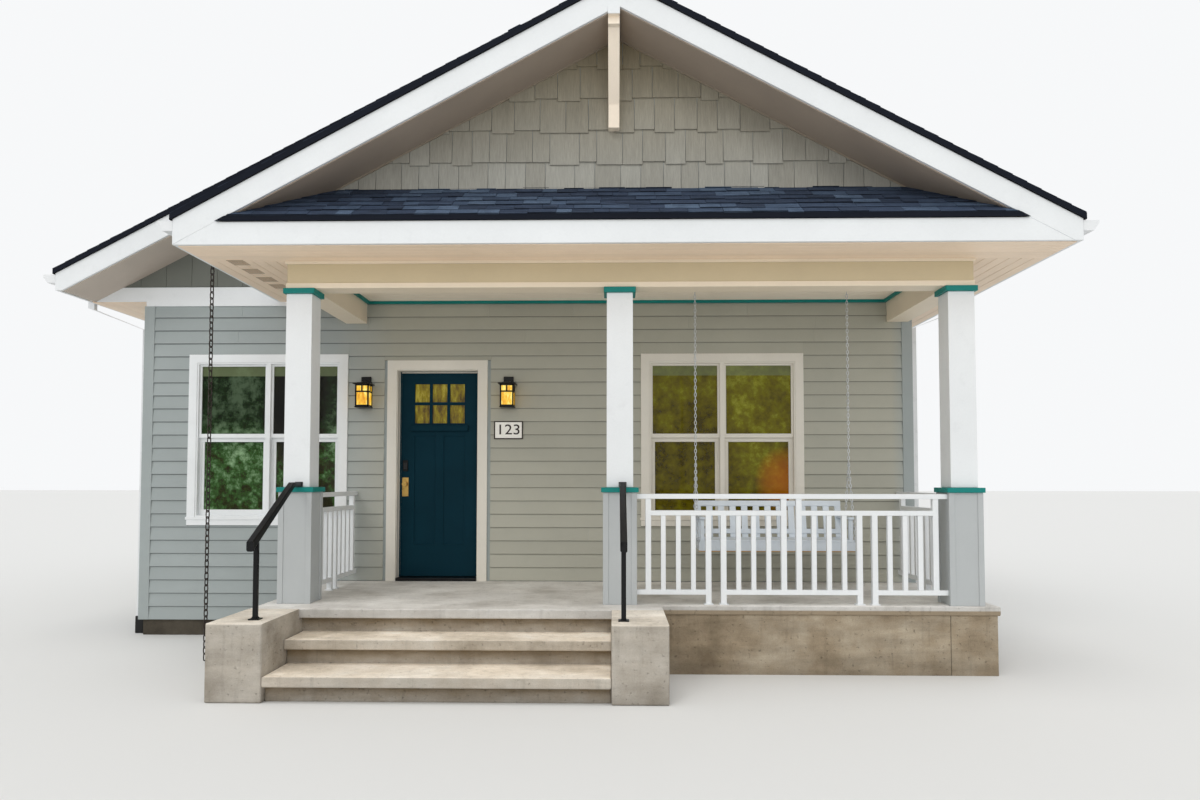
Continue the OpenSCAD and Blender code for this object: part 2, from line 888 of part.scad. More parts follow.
// Columns
module column_box(x, side, z0, z1) {
    block([x - side / 2, column_y - side / 2, z0], [x + side / 2, column_y + side / 2, z1]);
}

module column_pedestals() color(siding_colour) at_wall()
    for (x = columns) column_box(x, pedestal_w, floor_z, ledge_z);

module column_ledges() color(teal_colour) at_wall()
    for (x = columns) {
        column_box(x, ledge_w, ledge_z, shaft_z);
        column_box(x, capital_w, capital_z, beam_z);
    }

module column_shafts() color(trim_colour) at_wall()
    for (x = columns)
        translate([x, column_y, shaft_z])
            linear_extrude(capital_z - shaft_z, scale = shaft_head / shaft_foot)
                square(shaft_foot, center = true);

// Porch floor, stem walls, steps and cheek walls
module porch_floor() color(concrete_colour) at_wall() {
    block([floor_left, -slab_front, floor_z - slab_t], [floor_right, 0, floor_z]);
    block([floor_left, -landing_front, floor_z - slab_t], [landing_right, -slab_front, floor_z]);
}

module porch_foundation() color(concrete_colour) at_wall() {
    left = floor_left + stem_inset;
    right = floor_right - stem_inset;
    front = stem_inset - slab_front;
    top = floor_z - slab_t;
    block([landing_right, front, 0], [right, front + stem_t, top]);
    block([right - stem_t, front + stem_t, 0], [right, 0, top]);
    block([left, nosing - landing_front, 0], [left + stem_t, 0, top]);
}

module porch_steps() color(concrete_colour) at_wall() {
    for (i = [1:risers - 1]) {
        nose_y = -landing_front - (risers - i) * tread_d
                 - (i == 1 ? tread_first - tread_d : 0);
        block([step_left, nose_y + nosing, 0],
              [step_right, nosing - landing_front, i * rise - slab_t]);
        block([step_left, nose_y, i * rise - slab_t],
              [step_right, nosing - landing_front, i * rise]);
    }
    block([floor_left + stem_inset + stem_t, nosing - landing_front, 0],
          [landing_right, stem_inset - slab_front + stem_t, floor_z - slab_t]);
}

module step_cheeks() color(concrete_colour) at_wall() {
    for (x = [cheek_left_x, step_right]) {
        block([x, -front_reach, 0], [x + cheek_w, -landing_front, floor_z]);
        block([x, -landing_front, 0], [x + cheek_w, nosing - landing_front, floor_z - slab_t]);
    }
}

// Railings: verticals stand at one spacing, and every tenth repeats
module railing_panel(length) {
    members = 10 * round(length / 1450);
    pitch = length / (members - 1 + 1.64);
    start = 0.82 * pitch;
    sub_top = rail_h - subrail_drop;
    low_top = bottom_rail_h;
    module bar(x0, x1, z1, w) {
        block([x0, -w / 2, z1 - rail_t], [x1, w / 2, z1]);
    }
    module member(x, side, z0, z1) {
        block([x - side / 2, -side / 2, z0], [x + side / 2, side / 2, z1]);
    }
    function at(i) = start + i * pitch;
    bar(0, length, rail_h, rail_w);
    for (i = [0:members - 1]) {
        k = i % 10;
        if (k == 0 || k == 9) member(at(i), post_side, low_top - rail_t, rail_h - rail_t);
        if (k == 4 || k == 5) {
            member(at(i), post_side, foot_t, sub_top - rail_t);
            block([at(i) - foot_w / 2, -foot_w / 2, 0], [at(i) + foot_w / 2, foot_w / 2, foot_t]);
        }
        if (k % 9 != 0 && k != 4 && k != 5)
            member(at(i), baluster_side, low_top - rail_t, sub_top - rail_t);
        if (k == 0) bar(at(i), at(i + 9), sub_top, post_side);
        if (k == 0) bar(i == 0 ? 0 : at(i), at(i + 4), low_top, post_side);
        if (k == 9) bar(at(i - 4), i == members - 1 ? length : at(i), low_top, post_side);
        if (k == 9 && i < members - 1) bar(at(i), at(i + 1), low_top, post_side);
    }
}

module front_railing() color(trim_colour) at_wall() {
    x0 = columns[1] + pedestal_w / 2;
    x1 = columns[2] - pedestal_w / 2;
    translate([x0, -porch_d + railing_setback, floor_z]) railing_panel(x1 - x0);
}

module side_railings() color(trim_colour) at_wall() {
    y0 = column_y + pedestal_w / 2;
    for (x = [columns[0], columns[2]])
        translate([x, 0, floor_z]) rotate([0, 0, -90]) railing_panel(-y0);
}

// Handrails: a sloping tube on a post, level where it meets the column
module handrail(x) {
    clear = 0.3;
    flange_t = 3;
    plate_t = 10;
    level_cut = (grip_h - grip_level_h) / 2;
    flange_w = grip_w / 2 + 7;
    flange_z = grip_high - grip_level_h / 2;
    shaft_side = shaft_foot + (shaft_head - shaft_foot)
                 * (floor_z + flange_z - shaft_z) / (capital_z - shaft_z);
    end_y = column_y - shaft_side / 2 - clear - flange_t;
    knee_y = end_y - grip_level;
    low_y = -front_reach + grip_setback;
    post_y = low_y + grip_post_in;
    run = knee_y - low_y;
    h = grip_h / 2;
    low = grip_low;
    high = grip_high;
    under_post = low - h + (high - low) * (grip_post_in - grip_post / 2) / run;
    translate([x + grip_shift, 0, floor_z]) {
        translate([-grip_w / 2, 0, 0]) rotate([90, 0, 90]) linear_extrude(grip_w)
            polygon([
                [low_y, low - h],
                [knee_y + 30, high - h + level_cut],
                [end_y, high - h + level_cut],
                [end_y, high + h - level_cut],
                [knee_y, high + h - level_cut],
                [low_y, low + h]
            ]);
        block([-grip_post / 2, post_y - grip_post / 2, plate_t],
              [grip_post / 2, post_y + grip_post / 2, under_post + 5]);
        block([-grip_plate / 2, post_y - grip_plate / 2, 0],
              [grip_plate / 2, post_y + grip_plate / 2, plate_t]);
        block([-flange_w, end_y - 1, flange_z],
              [flange_w, end_y + flange_t, high + grip_level_h / 2 + 5]);
    }
}

module handrails() color(black_colour) at_wall() {
    handrail(columns[0]);
    handrail(columns[1]);
}

// Door
module door_frame() color(trim_colour) at_wall() {
    out = door_hole_w / 2;
    in = opening_w / 2;
    z0 = floor_z;
    z1 = floor_z + opening_h;
    top = z1 + jamb_t;
    reveal = casing_reveal;
    difference() {
        union() {
            block([door_x - out, 0, z0], [door_x + out, wall_t, top]);
            block([door_x - in - reveal - door_casing, -casing_t, z0],
                  [door_x + in + reveal + door_casing, 0, z1 + reveal + door_casing]);
        }
        block([door_x - in, -casing_t - 1, z0 - 1], [door_x + in, wall_t + 1, z1]);
        block([door_x - in - reveal, -casing_t - 1, z0 - 1], [door_x + in + reveal, 0, z1 + reveal]);
    }
    stop_y = door_front - door_gap;
    for (x = [door_x - in, door_x + in - stop_t])
        block([x, stop_y - stop_d, z0 + threshold_h], [x + stop_t, stop_y, z1 - stop_t]);
    block([door_x - in, stop_y - stop_d, z1 - stop_t], [door_x + in, stop_y, z1]);
    at_hinges()
        for (z = [-knuckle * 1.5 - hinge_play, knuckle / 2 + hinge_play]) {
            translate([0, 0, z]) cylinder(h = knuckle, r = hinge_r, $fn = 32);
            block([2, -hinge_r - 1, z], [hinge_leaf, -hinge_r + 3, z + knuckle]);
        }
}

module door_threshold() color(black_colour) at_wall() {
    in = opening_w / 2;
    block([door_x - in, -40, floor_z], [door_x + in, wall_t, floor_z + threshold_h]);
}

module door_lites(y0, y1) {
    for (col = [0:2], row = [0:1]) {
        x = door_x - lites_w / 2 + col * (lite_w + lite_bar);
        z = lites_z + row * (lite_h + lite_bar);
        block([x, y0, z], [x + lite_w, y1, z + lite_h]);
    }
}

module front_door() color(door_colour) at_wall() {
    half = door_w / 2;
    panel_w = (door_w - 2 * stile_w - door_bar) / 2;
    panel_z0 = door_z + door_foot_rail;
    panel_z1 = lites_z - shelf_gap - shelf_h - panel_drop;
    shelf_z = lites_z - shelf_gap - shelf_h;
    difference() {
        block([door_x - half, door_front, door_z], [door_x + half, door_back, door_z + door_h]);
        door_lites(door_front - 1, door_back + 1);
        for (side = [-1, 1]) {
            x = door_x + side * (door_bar + panel_w) / 2;
            block([x - panel_w / 2, door_front - 1, panel_z0],
                  [x + panel_w / 2, door_front + panel_recess, panel_z1]);
        }
    }
    block([door_x - lites_w / 2 - shelf_reach, door_front - shelf_d, shelf_z],
          [door_x + lites_w / 2 + shelf_reach, door_front, shelf_z + shelf_h]);
    at_hinges() {
        translate([0, 0, -knuckle / 2]) cylinder(h = knuckle, r = hinge_r, $fn = 32);
        block([-hinge_leaf, -hinge_r - 1, -knuckle / 2], [-2, -hinge_r + 3, knuckle / 2]);
    }
}

// Middles of the three hinges, on the door's pivot line
module at_hinges() {
    for (z = [door_z + 250, door_z + door_h / 2, door_z + door_h - 250])
        translate([door_hinge_x, hinge_y, z]) children();
}

module door_glass() color(glass_colour) at_wall() {
    mid = (door_front + door_back) / 2;
    door_lites(mid - glass_t / 2, mid + glass_t / 2);
}

module door_lockset() color("#8a7038") at_wall() {
    x = door_x - door_w / 2 + backset;
    plate_z = floor_z + lock_plate_up;
    keypad_z = floor_z + keypad_up;
    block([x - lock_plate_w / 2, door_front - lock_plate_t, plate_z],
          [x + lock_plate_w / 2, door_front, plate_z + lock_plate_h]);
    block([x - keypad_w / 2, door_front - keypad_t, keypad_z - keypad_h / 2],
          [x + keypad_w / 2, door_front, keypad_z + keypad_h / 2]);
    for (face = [[door_front, 90], [door_back, -90]])
        translate([x, face[0], floor_z + knob_up]) rotate([face[1], 0, 0]) {
            cylinder(h = lock_plate_t, r = knob_r + 2, $fn = 48);
            cylinder(h = knob_reach - knob_t / 2, r = stem_r, $fn = 32);
            translate([0, 0, knob_reach - knob_t]) cylinder(h = knob_t, r = knob_r, $fn = 48);
        }
}

// Windows: twin double hung units in one frame, facing -Y at Y = 0
module window_panes(y_top, y_low) {
    for (side = [-1, 1]) {
        x0 = side * (mullion_w + unit_w) / 2 - pane_w / 2;
        low_z = hole_z + sash_foot;
        high_z = low_z + pane_h + meeting_rail;
        block([x0, y_low[0], low_z], [x0 + pane_w, y_low[1], low_z + pane_h]);
        block([x0, y_top[0], high_z], [x0 + pane_w, y_top[1], high_z + pane_h]);
    }
}

module window_frame() {
    difference() {
        union() {
            block([-hole_w / 2, 10 - casing_t, hole_z], [hole_w / 2, frame_d, hole_z + hole_h]);
            difference() {
                block([-window_w / 2, -casing_t, hole_z - window_casing],
                      [window_w / 2, 0, hole_z + hole_h + window_casing]);
                block([-hole_w / 2, -casing_t - 1, hole_z], [hole_w / 2, 1, hole_z + hole_h]);
            }
            block([-window_w / 2 - sill_reach, -casing_t - sill_reach, hole_z - sill_t],
                  [window_w / 2 + sill_reach, 0, hole_z]);
        }
        window_panes([-casing_t, frame_d + 1], [-casing_t, frame_d + 1]);
        rim = frame_rim;
        for (side = [-1, 1]) {
            x0 = side * (mullion_w + unit_w) / 2 - unit_w / 2;
            sash_h = sash_foot + pane_h + meeting_rail / 2 - rim;
            block([x0 + rim, -casing_t, hole_z + rim],
                  [x0 + unit_w - rim, 15 + sash_step, hole_z + rim + sash_h]);
            block([x0 + rim, -casing_t, hole_z + rim + sash_h],
                  [x0 + unit_w - rim, 15, hole_z + hole_h - rim]);
        }
    }
}

module window_glazing() {
    top_y = 32;
    window_panes([top_y, top_y + glass_t], [top_y + sash_step, top_y + sash_step + glass_t]);
}

module at_front_windows() {
    for (x = [window_left_x, window_right_x]) translate([x, 0, 0]) children();
}

module at_side_windows() {
    both_sides()
        for (y = side_window_y) translate([half_w, y, 0]) rotate([0, 0, 90]) children();
}

module at_rear_windows() {
    for (x = rear_window_x) translate([x, house_d, 0]) rotate([0, 0, 180]) children();
}

module front_windows() color(trim_colour) at_wall() at_front_windows() window_frame();

module side_windows() color(trim_colour) at_wall() at_side_windows() window_frame();

module rear_windows() color(trim_colour) at_wall() at_rear_windows() window_frame();

module window_glass() color(glass_colour) at_wall() {
    at_front_windows() window_glazing();
    at_side_windows() window_glazing();
    at_rear_windows() window_glazing();
}

// Porch lanterns: a back plate, an arm and a box with a flared roof
module lantern() {
    box_w = lantern_w * 0.72;
    foot_w = lantern_w * 0.84;
    top_z = lantern_h / 2;
    roof_z = top_z - 60;
    arm_z = top_z - 14;
    arm = 14;
    brim = 22;
    foot = 20;
    backplate = 18;
    block([-55, -backplate, top_z - 150], [55, 0, top_z - 10]);
    block([-arm, -lantern_reach, arm_z - 20], [arm, -backplate, arm_z]);
    translate([0, -lantern_reach, 0]) {
        block([-arm, -arm, roof_z], [arm, arm, arm_z]);
        block([-lantern_w / 2, -lantern_w / 2, roof_z - brim], [lantern_w / 2, lantern_w / 2, roof_z]);
        block([-box_w / 2, -box_w / 2, foot - top_z], [box_w / 2, box_w / 2, roof_z - brim]);
        block([-foot_w / 2, -foot_w / 2, -top_z], [foot_w / 2, foot_w / 2, foot - top_z]);
    }
}

module lanterns() color(black_colour) at_wall()
    for (side = [-1, 1])
        translate([door_x + side * lantern_x, 0, floor_z + lantern_up]) lantern();

module number_plaque() color("#e8e4da") at_wall() {
    x = door_x + lantern_x;
    z = floor_z + plaque_up;
    block([x - plaque_w / 2, -20, z - plaque_h / 2], [x + plaque_w / 2, 0, z + plaque_h / 2]);
}

// Rain chain, drawn as the straight rod that its links fill
module rain_chain() color("#3a2f2a") at_wall() {
    x = porch_left - gutter_w / 3;
    top_z = porch_left_z - gutter_drop - gutter_h;
    translate([x, -rain_chain_y, rain_chain_end])
        cylinder(h = top_z - rain_chain_end, d = rain_chain_dia, $fn = 24);
}

// Porch swing
module swing_hooks() color(black_colour) at_wall() {
    ear = 6;
    gap = 0.5;
    for (x = chain_xs) translate([x, -swing_y, 0]) {
        block([-45, -35, eave_z - 8], [45, 35, eave_z]);
        for (side = [-1, 1]) {
            x0 = side > 0 ? chain_side / 2 + gap : -chain_side / 2 - gap - ear;
            block([x0, -eye_r, swing_pivot_z - eye_r], [x0 + ear, eye_r, eave_z - 8]);
        }
        translate([-chain_side / 2 - gap - ear, 0, swing_pivot_z]) rotate([0, 90, 0])
            cylinder(h = chain_side + 2 * gap + 2 * ear, r = pin_r, $fn = 32);
    }
}

// Outline of one chain in Y and Z: a stem that divides into two strands
module chain_outline() {
    fork_z = floor_z + fork_h;
    foot_z = swing_seat_z - seat_rail / 2;
    foot_y = seat_d / 2 - chain_inset;
    steepness = (fork_z - foot_z) / foot_y;
    half = chain_side / 2;
    strand = half * sqrt(1 + 1 / pow(steepness, 2));
    polygon([
        [-half, swing_pivot_z - pin_r - 1],
        [-half, fork_z + (strand - half) * steepness],
        [-foot_y - strand, foot_z],
        [strand - foot_y, foot_z],
        [0, fork_z - strand * steepness],
        [foot_y - strand, foot_z],
        [foot_y + strand, foot_z],
        [half, fork_z + (strand - half) * steepness],
        [half, swing_pivot_z - pin_r - 1]
    ]);
}

module swing_chains() color("#8d9094") at_wall()
    for (x = chain_xs) translate([x, -swing_y, 0]) difference() {
        union() {
            translate([-chain_side / 2, 0, 0]) rotate([90, 0, 90])
                linear_extrude(chain_side) chain_outline();
            translate([-chain_side / 2, 0, swing_pivot_z]) rotate([0, 90, 0])
                cylinder(h = chain_side, r = eye_r, $fn = 48);
        }
        translate([-chain_side, 0, swing_pivot_z]) rotate([0, 90, 0])
            cylinder(h = 2 * chain_side, r = pin_r + pin_play, $fn = 48);
    }

module swing_bench() color(swing_colour) at_wall()
    translate([swing_x, -swing_y, swing_seat_z]) {
        side = chain_span / 2 - chain_side / 2;
        rail = 45;
        slat_t = 20;
        half = swing_w / 2;
        top_rail = 60;
        low_rail = [60, 110];
        rail_reach = 6;
        arm_w = 60;
        arm_t = 25;
        arm_h = 230;
        arm_post = 40;
        // Seat frame and seat slats
        for (y = [-seat_d / 2, seat_d / 2 - rail])
            block([-side, y, -seat_rail], [side, y + rail, -slat_t]);
        for (x = [-side, -rail / 2, side - rail])
            block([x, -seat_d / 2, -seat_rail], [x + rail, seat_d / 2, -slat_t]);
        block([-half, -seat_d / 2, -slat_t], [half, seat_d / 2, 0]);
        // Back: slats between a top rail and the seat
        translate([0, seat_d / 2 - 2 * slat_t, -slat_t]) rotate([-back_lean, 0, 0]) {
            step = (swing_w - slat_w) / (slats - 1);
            for (i = [0:slats - 1])
                block([-half + i * step, 0, 0], [-half + i * step + slat_w, slat_t, back_h]);
            block([-half, -rail_reach, back_h - top_rail], [half, slat_t + rail_reach, back_h]);
            block([-half, -rail_reach, low_rail[0]], [half, slat_t + rail_reach, low_rail[1]]);
        }
        // Arms on posts
        for (x = [-half, half - arm_w]) {
            post_x = x + (arm_w - arm_post) / 2;
            post_y = 20 - seat_d / 2;
            block([x, -seat_d / 2, arm_h - arm_t], [x + arm_w, seat_d / 2 + 20, arm_h]);
            block([post_x, post_y, 0], [post_x + arm_post, post_y + arm_post, arm_h - arm_t]);
        }
    }

foundation_wall();
house_floor();
front_wall_left();
front_wall_right();
front_wall_door_bay();
left_wall();
right_wall();
rear_wall();
front_gable_wall();
rear_gable_wall();
frieze_boards();
corner_boards();
main_roof_left();
main_roof_right();
main_shingles_left();
main_shingles_right();
main_barge_boards();
eave_fascias();
eave_soffits();
gutters();
downspouts();
downspout_boots();
porch_roof_left();
porch_roof_right();
porch_shingles_left();
porch_shingles_right();
porch_barge_boards();
porch_fascia();
porch_gable_wall();
pent_roof();
gable_bracket();
porch_ceiling();
ceiling_moulding();
porch_beams();
column_pedestals();
column_shafts();
column_ledges();
porch_floor();
porch_foundation();
porch_steps();
step_cheeks();
front_railing();
side_railings();
handrails();
door_frame();
door_threshold();
front_door();
door_glass();
door_lockset();
front_windows();
side_windows();
rear_windows();
window_glass();
lanterns();
number_plaque();
rain_chain();
swing_hooks();
swing_bench();
swing_chains();
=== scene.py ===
import json
import math
import random

import bpy
from mathutils import Matrix, Vector


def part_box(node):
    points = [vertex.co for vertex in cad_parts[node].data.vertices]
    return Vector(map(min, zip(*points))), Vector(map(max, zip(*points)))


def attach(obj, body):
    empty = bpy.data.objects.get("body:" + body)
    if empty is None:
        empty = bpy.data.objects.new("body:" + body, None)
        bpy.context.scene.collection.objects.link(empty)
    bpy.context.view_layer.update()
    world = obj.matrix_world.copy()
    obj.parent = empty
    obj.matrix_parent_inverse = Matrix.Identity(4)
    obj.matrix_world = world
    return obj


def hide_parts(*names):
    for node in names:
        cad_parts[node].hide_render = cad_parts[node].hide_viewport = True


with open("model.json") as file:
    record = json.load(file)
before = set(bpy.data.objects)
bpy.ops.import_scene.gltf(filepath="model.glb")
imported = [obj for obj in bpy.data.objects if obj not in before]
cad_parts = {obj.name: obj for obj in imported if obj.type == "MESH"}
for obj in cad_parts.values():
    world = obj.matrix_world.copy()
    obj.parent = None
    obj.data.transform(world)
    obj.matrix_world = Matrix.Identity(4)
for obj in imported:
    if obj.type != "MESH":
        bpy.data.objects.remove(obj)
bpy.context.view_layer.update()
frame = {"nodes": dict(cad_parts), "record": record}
nodes = frame["nodes"]
SLOT_OF = {part["node"]: part["material_slot"] for part in frame["record"]["subparts"]}
BODY_OF = {node: body for body, names in frame["record"]["behaviour"]["bodies"].items() for node in names}


# The camera that took the view, in metres and radians
CAMERA_PLACE = (1.04, -14.1715, 1.7707)
CAMERA_TURN = (math.pi / 2 + 0.0416, -0.0007, 0.0214)
LENS_MM = 25.72
SENSOR_MM = 36.0
SHIFT = (0.0032, 0.0381)
FARTHEST = 200

# Where the house stands: everything is placed from the front wall's face, at Y = 0
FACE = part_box("front_wall_left")[0].y
HALF_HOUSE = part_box("right_wall")[1].x
HOUSE_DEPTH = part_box("rear_wall")[1].y - FACE
SIDING_FOOT = 0.18
FLOOR = 0.63
EAVE = 3.865
FRIEZE = 3.82
FRIEZE_TOP = 4.04
DECK_EAVE = 4.055
UNDER_EAVE = DECK_EAVE - 0.23
SHINGLE_T = 0.055
MAIN_FRONT = -0.65
PORCH_FRONT = -2.425
BEAM_FACE = -1.83
ROOF_END = HOUSE_DEPTH + 0.65
CEILING_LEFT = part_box("porch_ceiling")[0].x
COLUMNS = (-1.95, 1.09, 4.275)
COLUMN_Y = -1.715
BEAM_LEFT = COLUMNS[0] - 0.115
BEAM_RIGHT = COLUMNS[2] + 0.115
CORNERS = [(across, along) for across in (-1, 1) for along in (-1, 1)]

# Each gabled roof's ridge, half of its width and its slope
HALF_ROOF = 5.11
MAIN_GRADE = math.tan(math.radians(27.5))
PORCH_RIDGE = 1.075
PORCH_HALF = HALF_ROOF - PORCH_RIDGE
PORCH_GRADE = math.tan(math.radians(28.2))
PORCH_PEAK = UNDER_EAVE + PORCH_HALF * PORCH_GRADE
MAIN = (0.0, HALF_ROOF, MAIN_GRADE)
PORCH = (PORCH_RIDGE, PORCH_HALF, PORCH_GRADE)

# Door, windows and what hangs beside and before them
DOOR_X = -1.005
DOOR_Y = 0.125
LANTERN_X = 0.825
LANTERN_Y = -0.124
CAGE = 0.078
FRONT_WINDOWS = (-2.975, 2.273)
SIDE_WINDOWS = [HOUSE_DEPTH * share for share in (0.2, 0.5, 0.8)]
REAR_WINDOWS = (-HALF_HOUSE / 2, HALF_HOUSE / 2)
SWING_X = 2.6825
SWING_Y = -0.86
SEAT_Z = FLOOR + 0.55

# How far the boards, shakes and tabs show
EXPOSURE = 0.152
SHAKE_EXPOSURE = 0.307
SHAKE_FOOT = 4.49
TAB_EXPOSURE = 0.143
SKIRT_EXPOSURE = 0.118
SOFFIT_BOARD = 0.112
SOFFIT_T = 0.007


def set_camera():
    data = bpy.data.cameras.new("street_view")
    camera = bpy.data.objects.new("street_view", data)
    bpy.context.scene.collection.objects.link(camera)
    camera.location = CAMERA_PLACE
    camera.rotation_euler = CAMERA_TURN
    data.lens = LENS_MM
    data.sensor_width = SENSOR_MM
    data.shift_x, data.shift_y = SHIFT
    data.clip_end = FARTHEST
    bpy.context.scene.camera = camera


# Materials: values that take part in sums, and the nodes behind them
class Value:
    """A node's output, which takes part in sums as a number does."""

    def __init__(self, finish, socket):
        self.finish = finish
        self.socket = socket

    def maths(self, operation, first, second):
        return self.finish.node("ShaderNodeMath", {"operation": operation}, {0: first, 1: second})

    def __add__(self, other):
        return self.maths("ADD", self, other)

    def __sub__(self, other):
        return self.maths("SUBTRACT", self, other)

    def __rsub__(self, other):
        return self.maths("SUBTRACT", other, self)

    def __mul__(self, other):
        return self.maths("MULTIPLY", self, other)

    def __gt__(self, other):
        return self.maths("GREATER_THAN", self, other)

    def __lt__(self, other):
        return self.maths("LESS_THAN", self, other)

    __rmul__ = __mul__


def colour(red, green, blue):
    """A shade as a screen shows it, from 0 to 255, turned into the shader's numbers."""
    return tuple((max(c, 11) / 255 / 1.055 + 0.0521) ** 2.4 for c in (red, green, blue))


class Finish:
    """A material and the ways to add nodes to it. Its shades are as a screen shows them."""

    def __init__(self, name, shade, roughness=0.6, metallic=0.0, **constants):
        self.name = name
        self.material = bpy.data.materials.new(name)
        self.material.use_nodes = True
        tree = self.material.node_tree
        self.nodes = tree.nodes
        self.links = tree.links
        self.shader = tree.nodes["Principled BSDF"]
        self.set("Base Color", (*colour(*shade), 1))
        self.set("Roughness", roughness)
        self.set("Metallic", metallic)
        for key, value in constants.items():
            self.set(key.replace("_", " "), value)
        self.place = self.node("ShaderNodeTexCoord", output="Object")

    def set(self, name, value):
        self.feed(self.shader.inputs[name], value)

    def feed(self, socket, value):
        if isinstance(value, Value):
            self.links.new(value.socket, socket)
        else:
            socket.default_value = value

    def node(self, kind, settings=None, sockets=None, output=0):
        made = self.nodes.new(kind)
        for key, value in (settings or {}).items():
            if key == "stops":
                self.ramp_stops(made.color_ramp, value)
            else:
                setattr(made, key, value)
        for key, value in (sockets or {}).items():
            self.feed(made.inputs[key], value)
        return Value(self, made.outputs[output])

    def ramp_stops(self, ramp, stops):
        while len(ramp.elements) < len(stops):
            ramp.elements.new(0.5)
        for element, (position, shade) in zip(ramp.elements, stops):
            element.position = position
            element.color = (*colour(*shade), 1)

    def noise(self, scale, detail=4.0, rough=0.55, stretch=None):
        vector = self.place
        if stretch:
            vector = self.node("ShaderNodeMapping", {}, {"Vector": vector, "Scale": stretch})
        sockets = {"Vector": vector, "Scale": scale, "Detail": detail, "Roughness": rough}
        return self.node("ShaderNodeTexNoise", {}, sockets)

    def axis(self, name, vector=None):
        return self.node("ShaderNodeSeparateXYZ", {}, {0: vector or self.place}, name)

    def facing(self, name):
        return self.axis(name, self.node("ShaderNodeNewGeometry", output="Normal"))

    def span(self, value, low, high, to_low=0.0, to_high=1.0):
        sockets = {"Value": value, "From Min": low, "From Max": high, "To Min": to_low, "To Max": to_high}
        return self.node("ShaderNodeMapRange", {}, sockets)

    def product(self, *spans):
        """Values multiplied together, each of them first spread from one range to another."""
        return math.prod(self.span(*span) for span in spans)

    def ramp(self, value, stops):
        return self.node("ShaderNodeValToRGB", {"stops": stops}, {0: value})

    def mix(self, factor, first, second, blend="MIX"):
        settings = {"data_type": "RGBA", "blend_type": blend}
        first, second = (c if isinstance(c, Value) else (*colour(*c), 1) for c in (first, second))
        return self.node("ShaderNodeMix", settings, {0: factor, 6: first, 7: second}, output=2)

    def shaded(self, shade, *spans):
        """The shade made darker or lighter by each of the values."""
        amount = self.product(*spans)
        grey = self.node("ShaderNodeCombineColor", {}, {0: amount, 1: amount, 2: amount})
        return self.mix(1.0, shade, grey, "MULTIPLY")

    def paint(self, shade, *spans):
        self.set("Base Color", self.shaded(shade, *spans))

    def attribute(self, name):
        return self.node("ShaderNodeAttribute", {"attribute_name": name}, output="Fac")

    def bump(self, height, distance):
        self.set("Normal", self.node("ShaderNodeBump", {}, {"Height": height, "Distance": distance}))


# Modelling by hand: choosing, cutting, copying and joining
def deselect():
    bpy.ops.object.select_all(action="DESELECT")


def pick(*pieces):
    deselect()
    for piece in pieces:
        piece.select_set(True)
    bpy.context.view_layer.objects.active = pieces[-1]


def settle(*pieces):
    """Put the place, turn and size of the pieces into their meshes."""
    pick(*pieces)
    bpy.ops.object.transform_apply(location=True, rotation=True, scale=True)
    return pieces[-1]


def choose(piece, kind, test):
    """Mark the faces, edges or corners that pass a test, ready for edit mode."""
    mesh = piece.data
    for group in (mesh.vertices, mesh.edges, mesh.polygons):
        group.foreach_set("select", [False] * len(group))
    if kind == "FACE":
        mesh.polygons.foreach_set("select", [test(face) for face in mesh.polygons])
    if kind == "EDGE":
        ends = [[mesh.vertices[i].co for i in edge.vertices] for edge in mesh.edges]
        mesh.edges.foreach_set("select", [test(a, b) for a, b in ends])
    if kind == "VERT":
        mesh.vertices.foreach_set("select", [test(corner.co) for corner in mesh.vertices])


class edit_mode:
    """Work on a piece in edit mode, on its chosen faces, edges or corners."""

    def __init__(self, piece, kind="FACE", test=None):
        self.piece = piece
        self.kind = kind
        self.test = test or (lambda *parts: True)

    def __enter__(self):
        pick(self.piece)
        bpy.context.tool_settings.mesh_select_mode = [self.kind == k for k in ("VERT", "EDGE", "FACE")]
        choose(self.piece, self.kind, self.test)
        bpy.ops.object.mode_set(mode="EDIT")

    def __exit__(self, *error):
        bpy.ops.object.mode_set(mode="OBJECT")


def push(piece, test, way):
    """Move the corners that pass a test."""
    with edit_mode(piece, "VERT", test):
        bpy.ops.transform.translate(value=way)


def block(low, high, face=FACE, name="part"):
    """A box between two corners, with Y measured from the front wall's face, or from 0 to be copied."""
    middle = [(a + b) / 2 for a, b in zip(low, high)]
    middle[1] += face
    deselect()
    bpy.ops.mesh.primitive_cube_add(size=1, location=middle)
    piece = bpy.context.object
    piece.name = name
    piece.scale = [b - a for a, b in zip(low, high)]
    return settle(piece)


def rounded(piece, width, segments=2, angle=35, limit="ANGLE"):
    """Round the piece's edges with a bevel."""
    bevel = piece.modifiers.new("edges", "BEVEL")
    bevel.width = width
    bevel.segments = segments
    bevel.limit_method = limit
    bevel.angle_limit = math.radians(angle)
    pick(piece)
    bpy.ops.object.modifier_apply(modifier=bevel.name)
    return piece


def bar(low, high, width=0.003, segments=2, face=FACE, name="part"):
    """A block with rounded edges."""
    return rounded(block(low, high, face, name), width, segments)


def smoothed(piece, angle=35):
    """Shade the rounded edges smooth and keep the wide faces flat."""
    pick(piece)
    bpy.ops.object.shade_smooth_by_angle(angle=math.radians(angle))
    normals = piece.modifiers.new("normals", "WEIGHTED_NORMAL")
    normals.weight = 100
    normals.keep_sharp = True
    bpy.ops.object.modifier_apply(modifier=normals.name)
    return piece


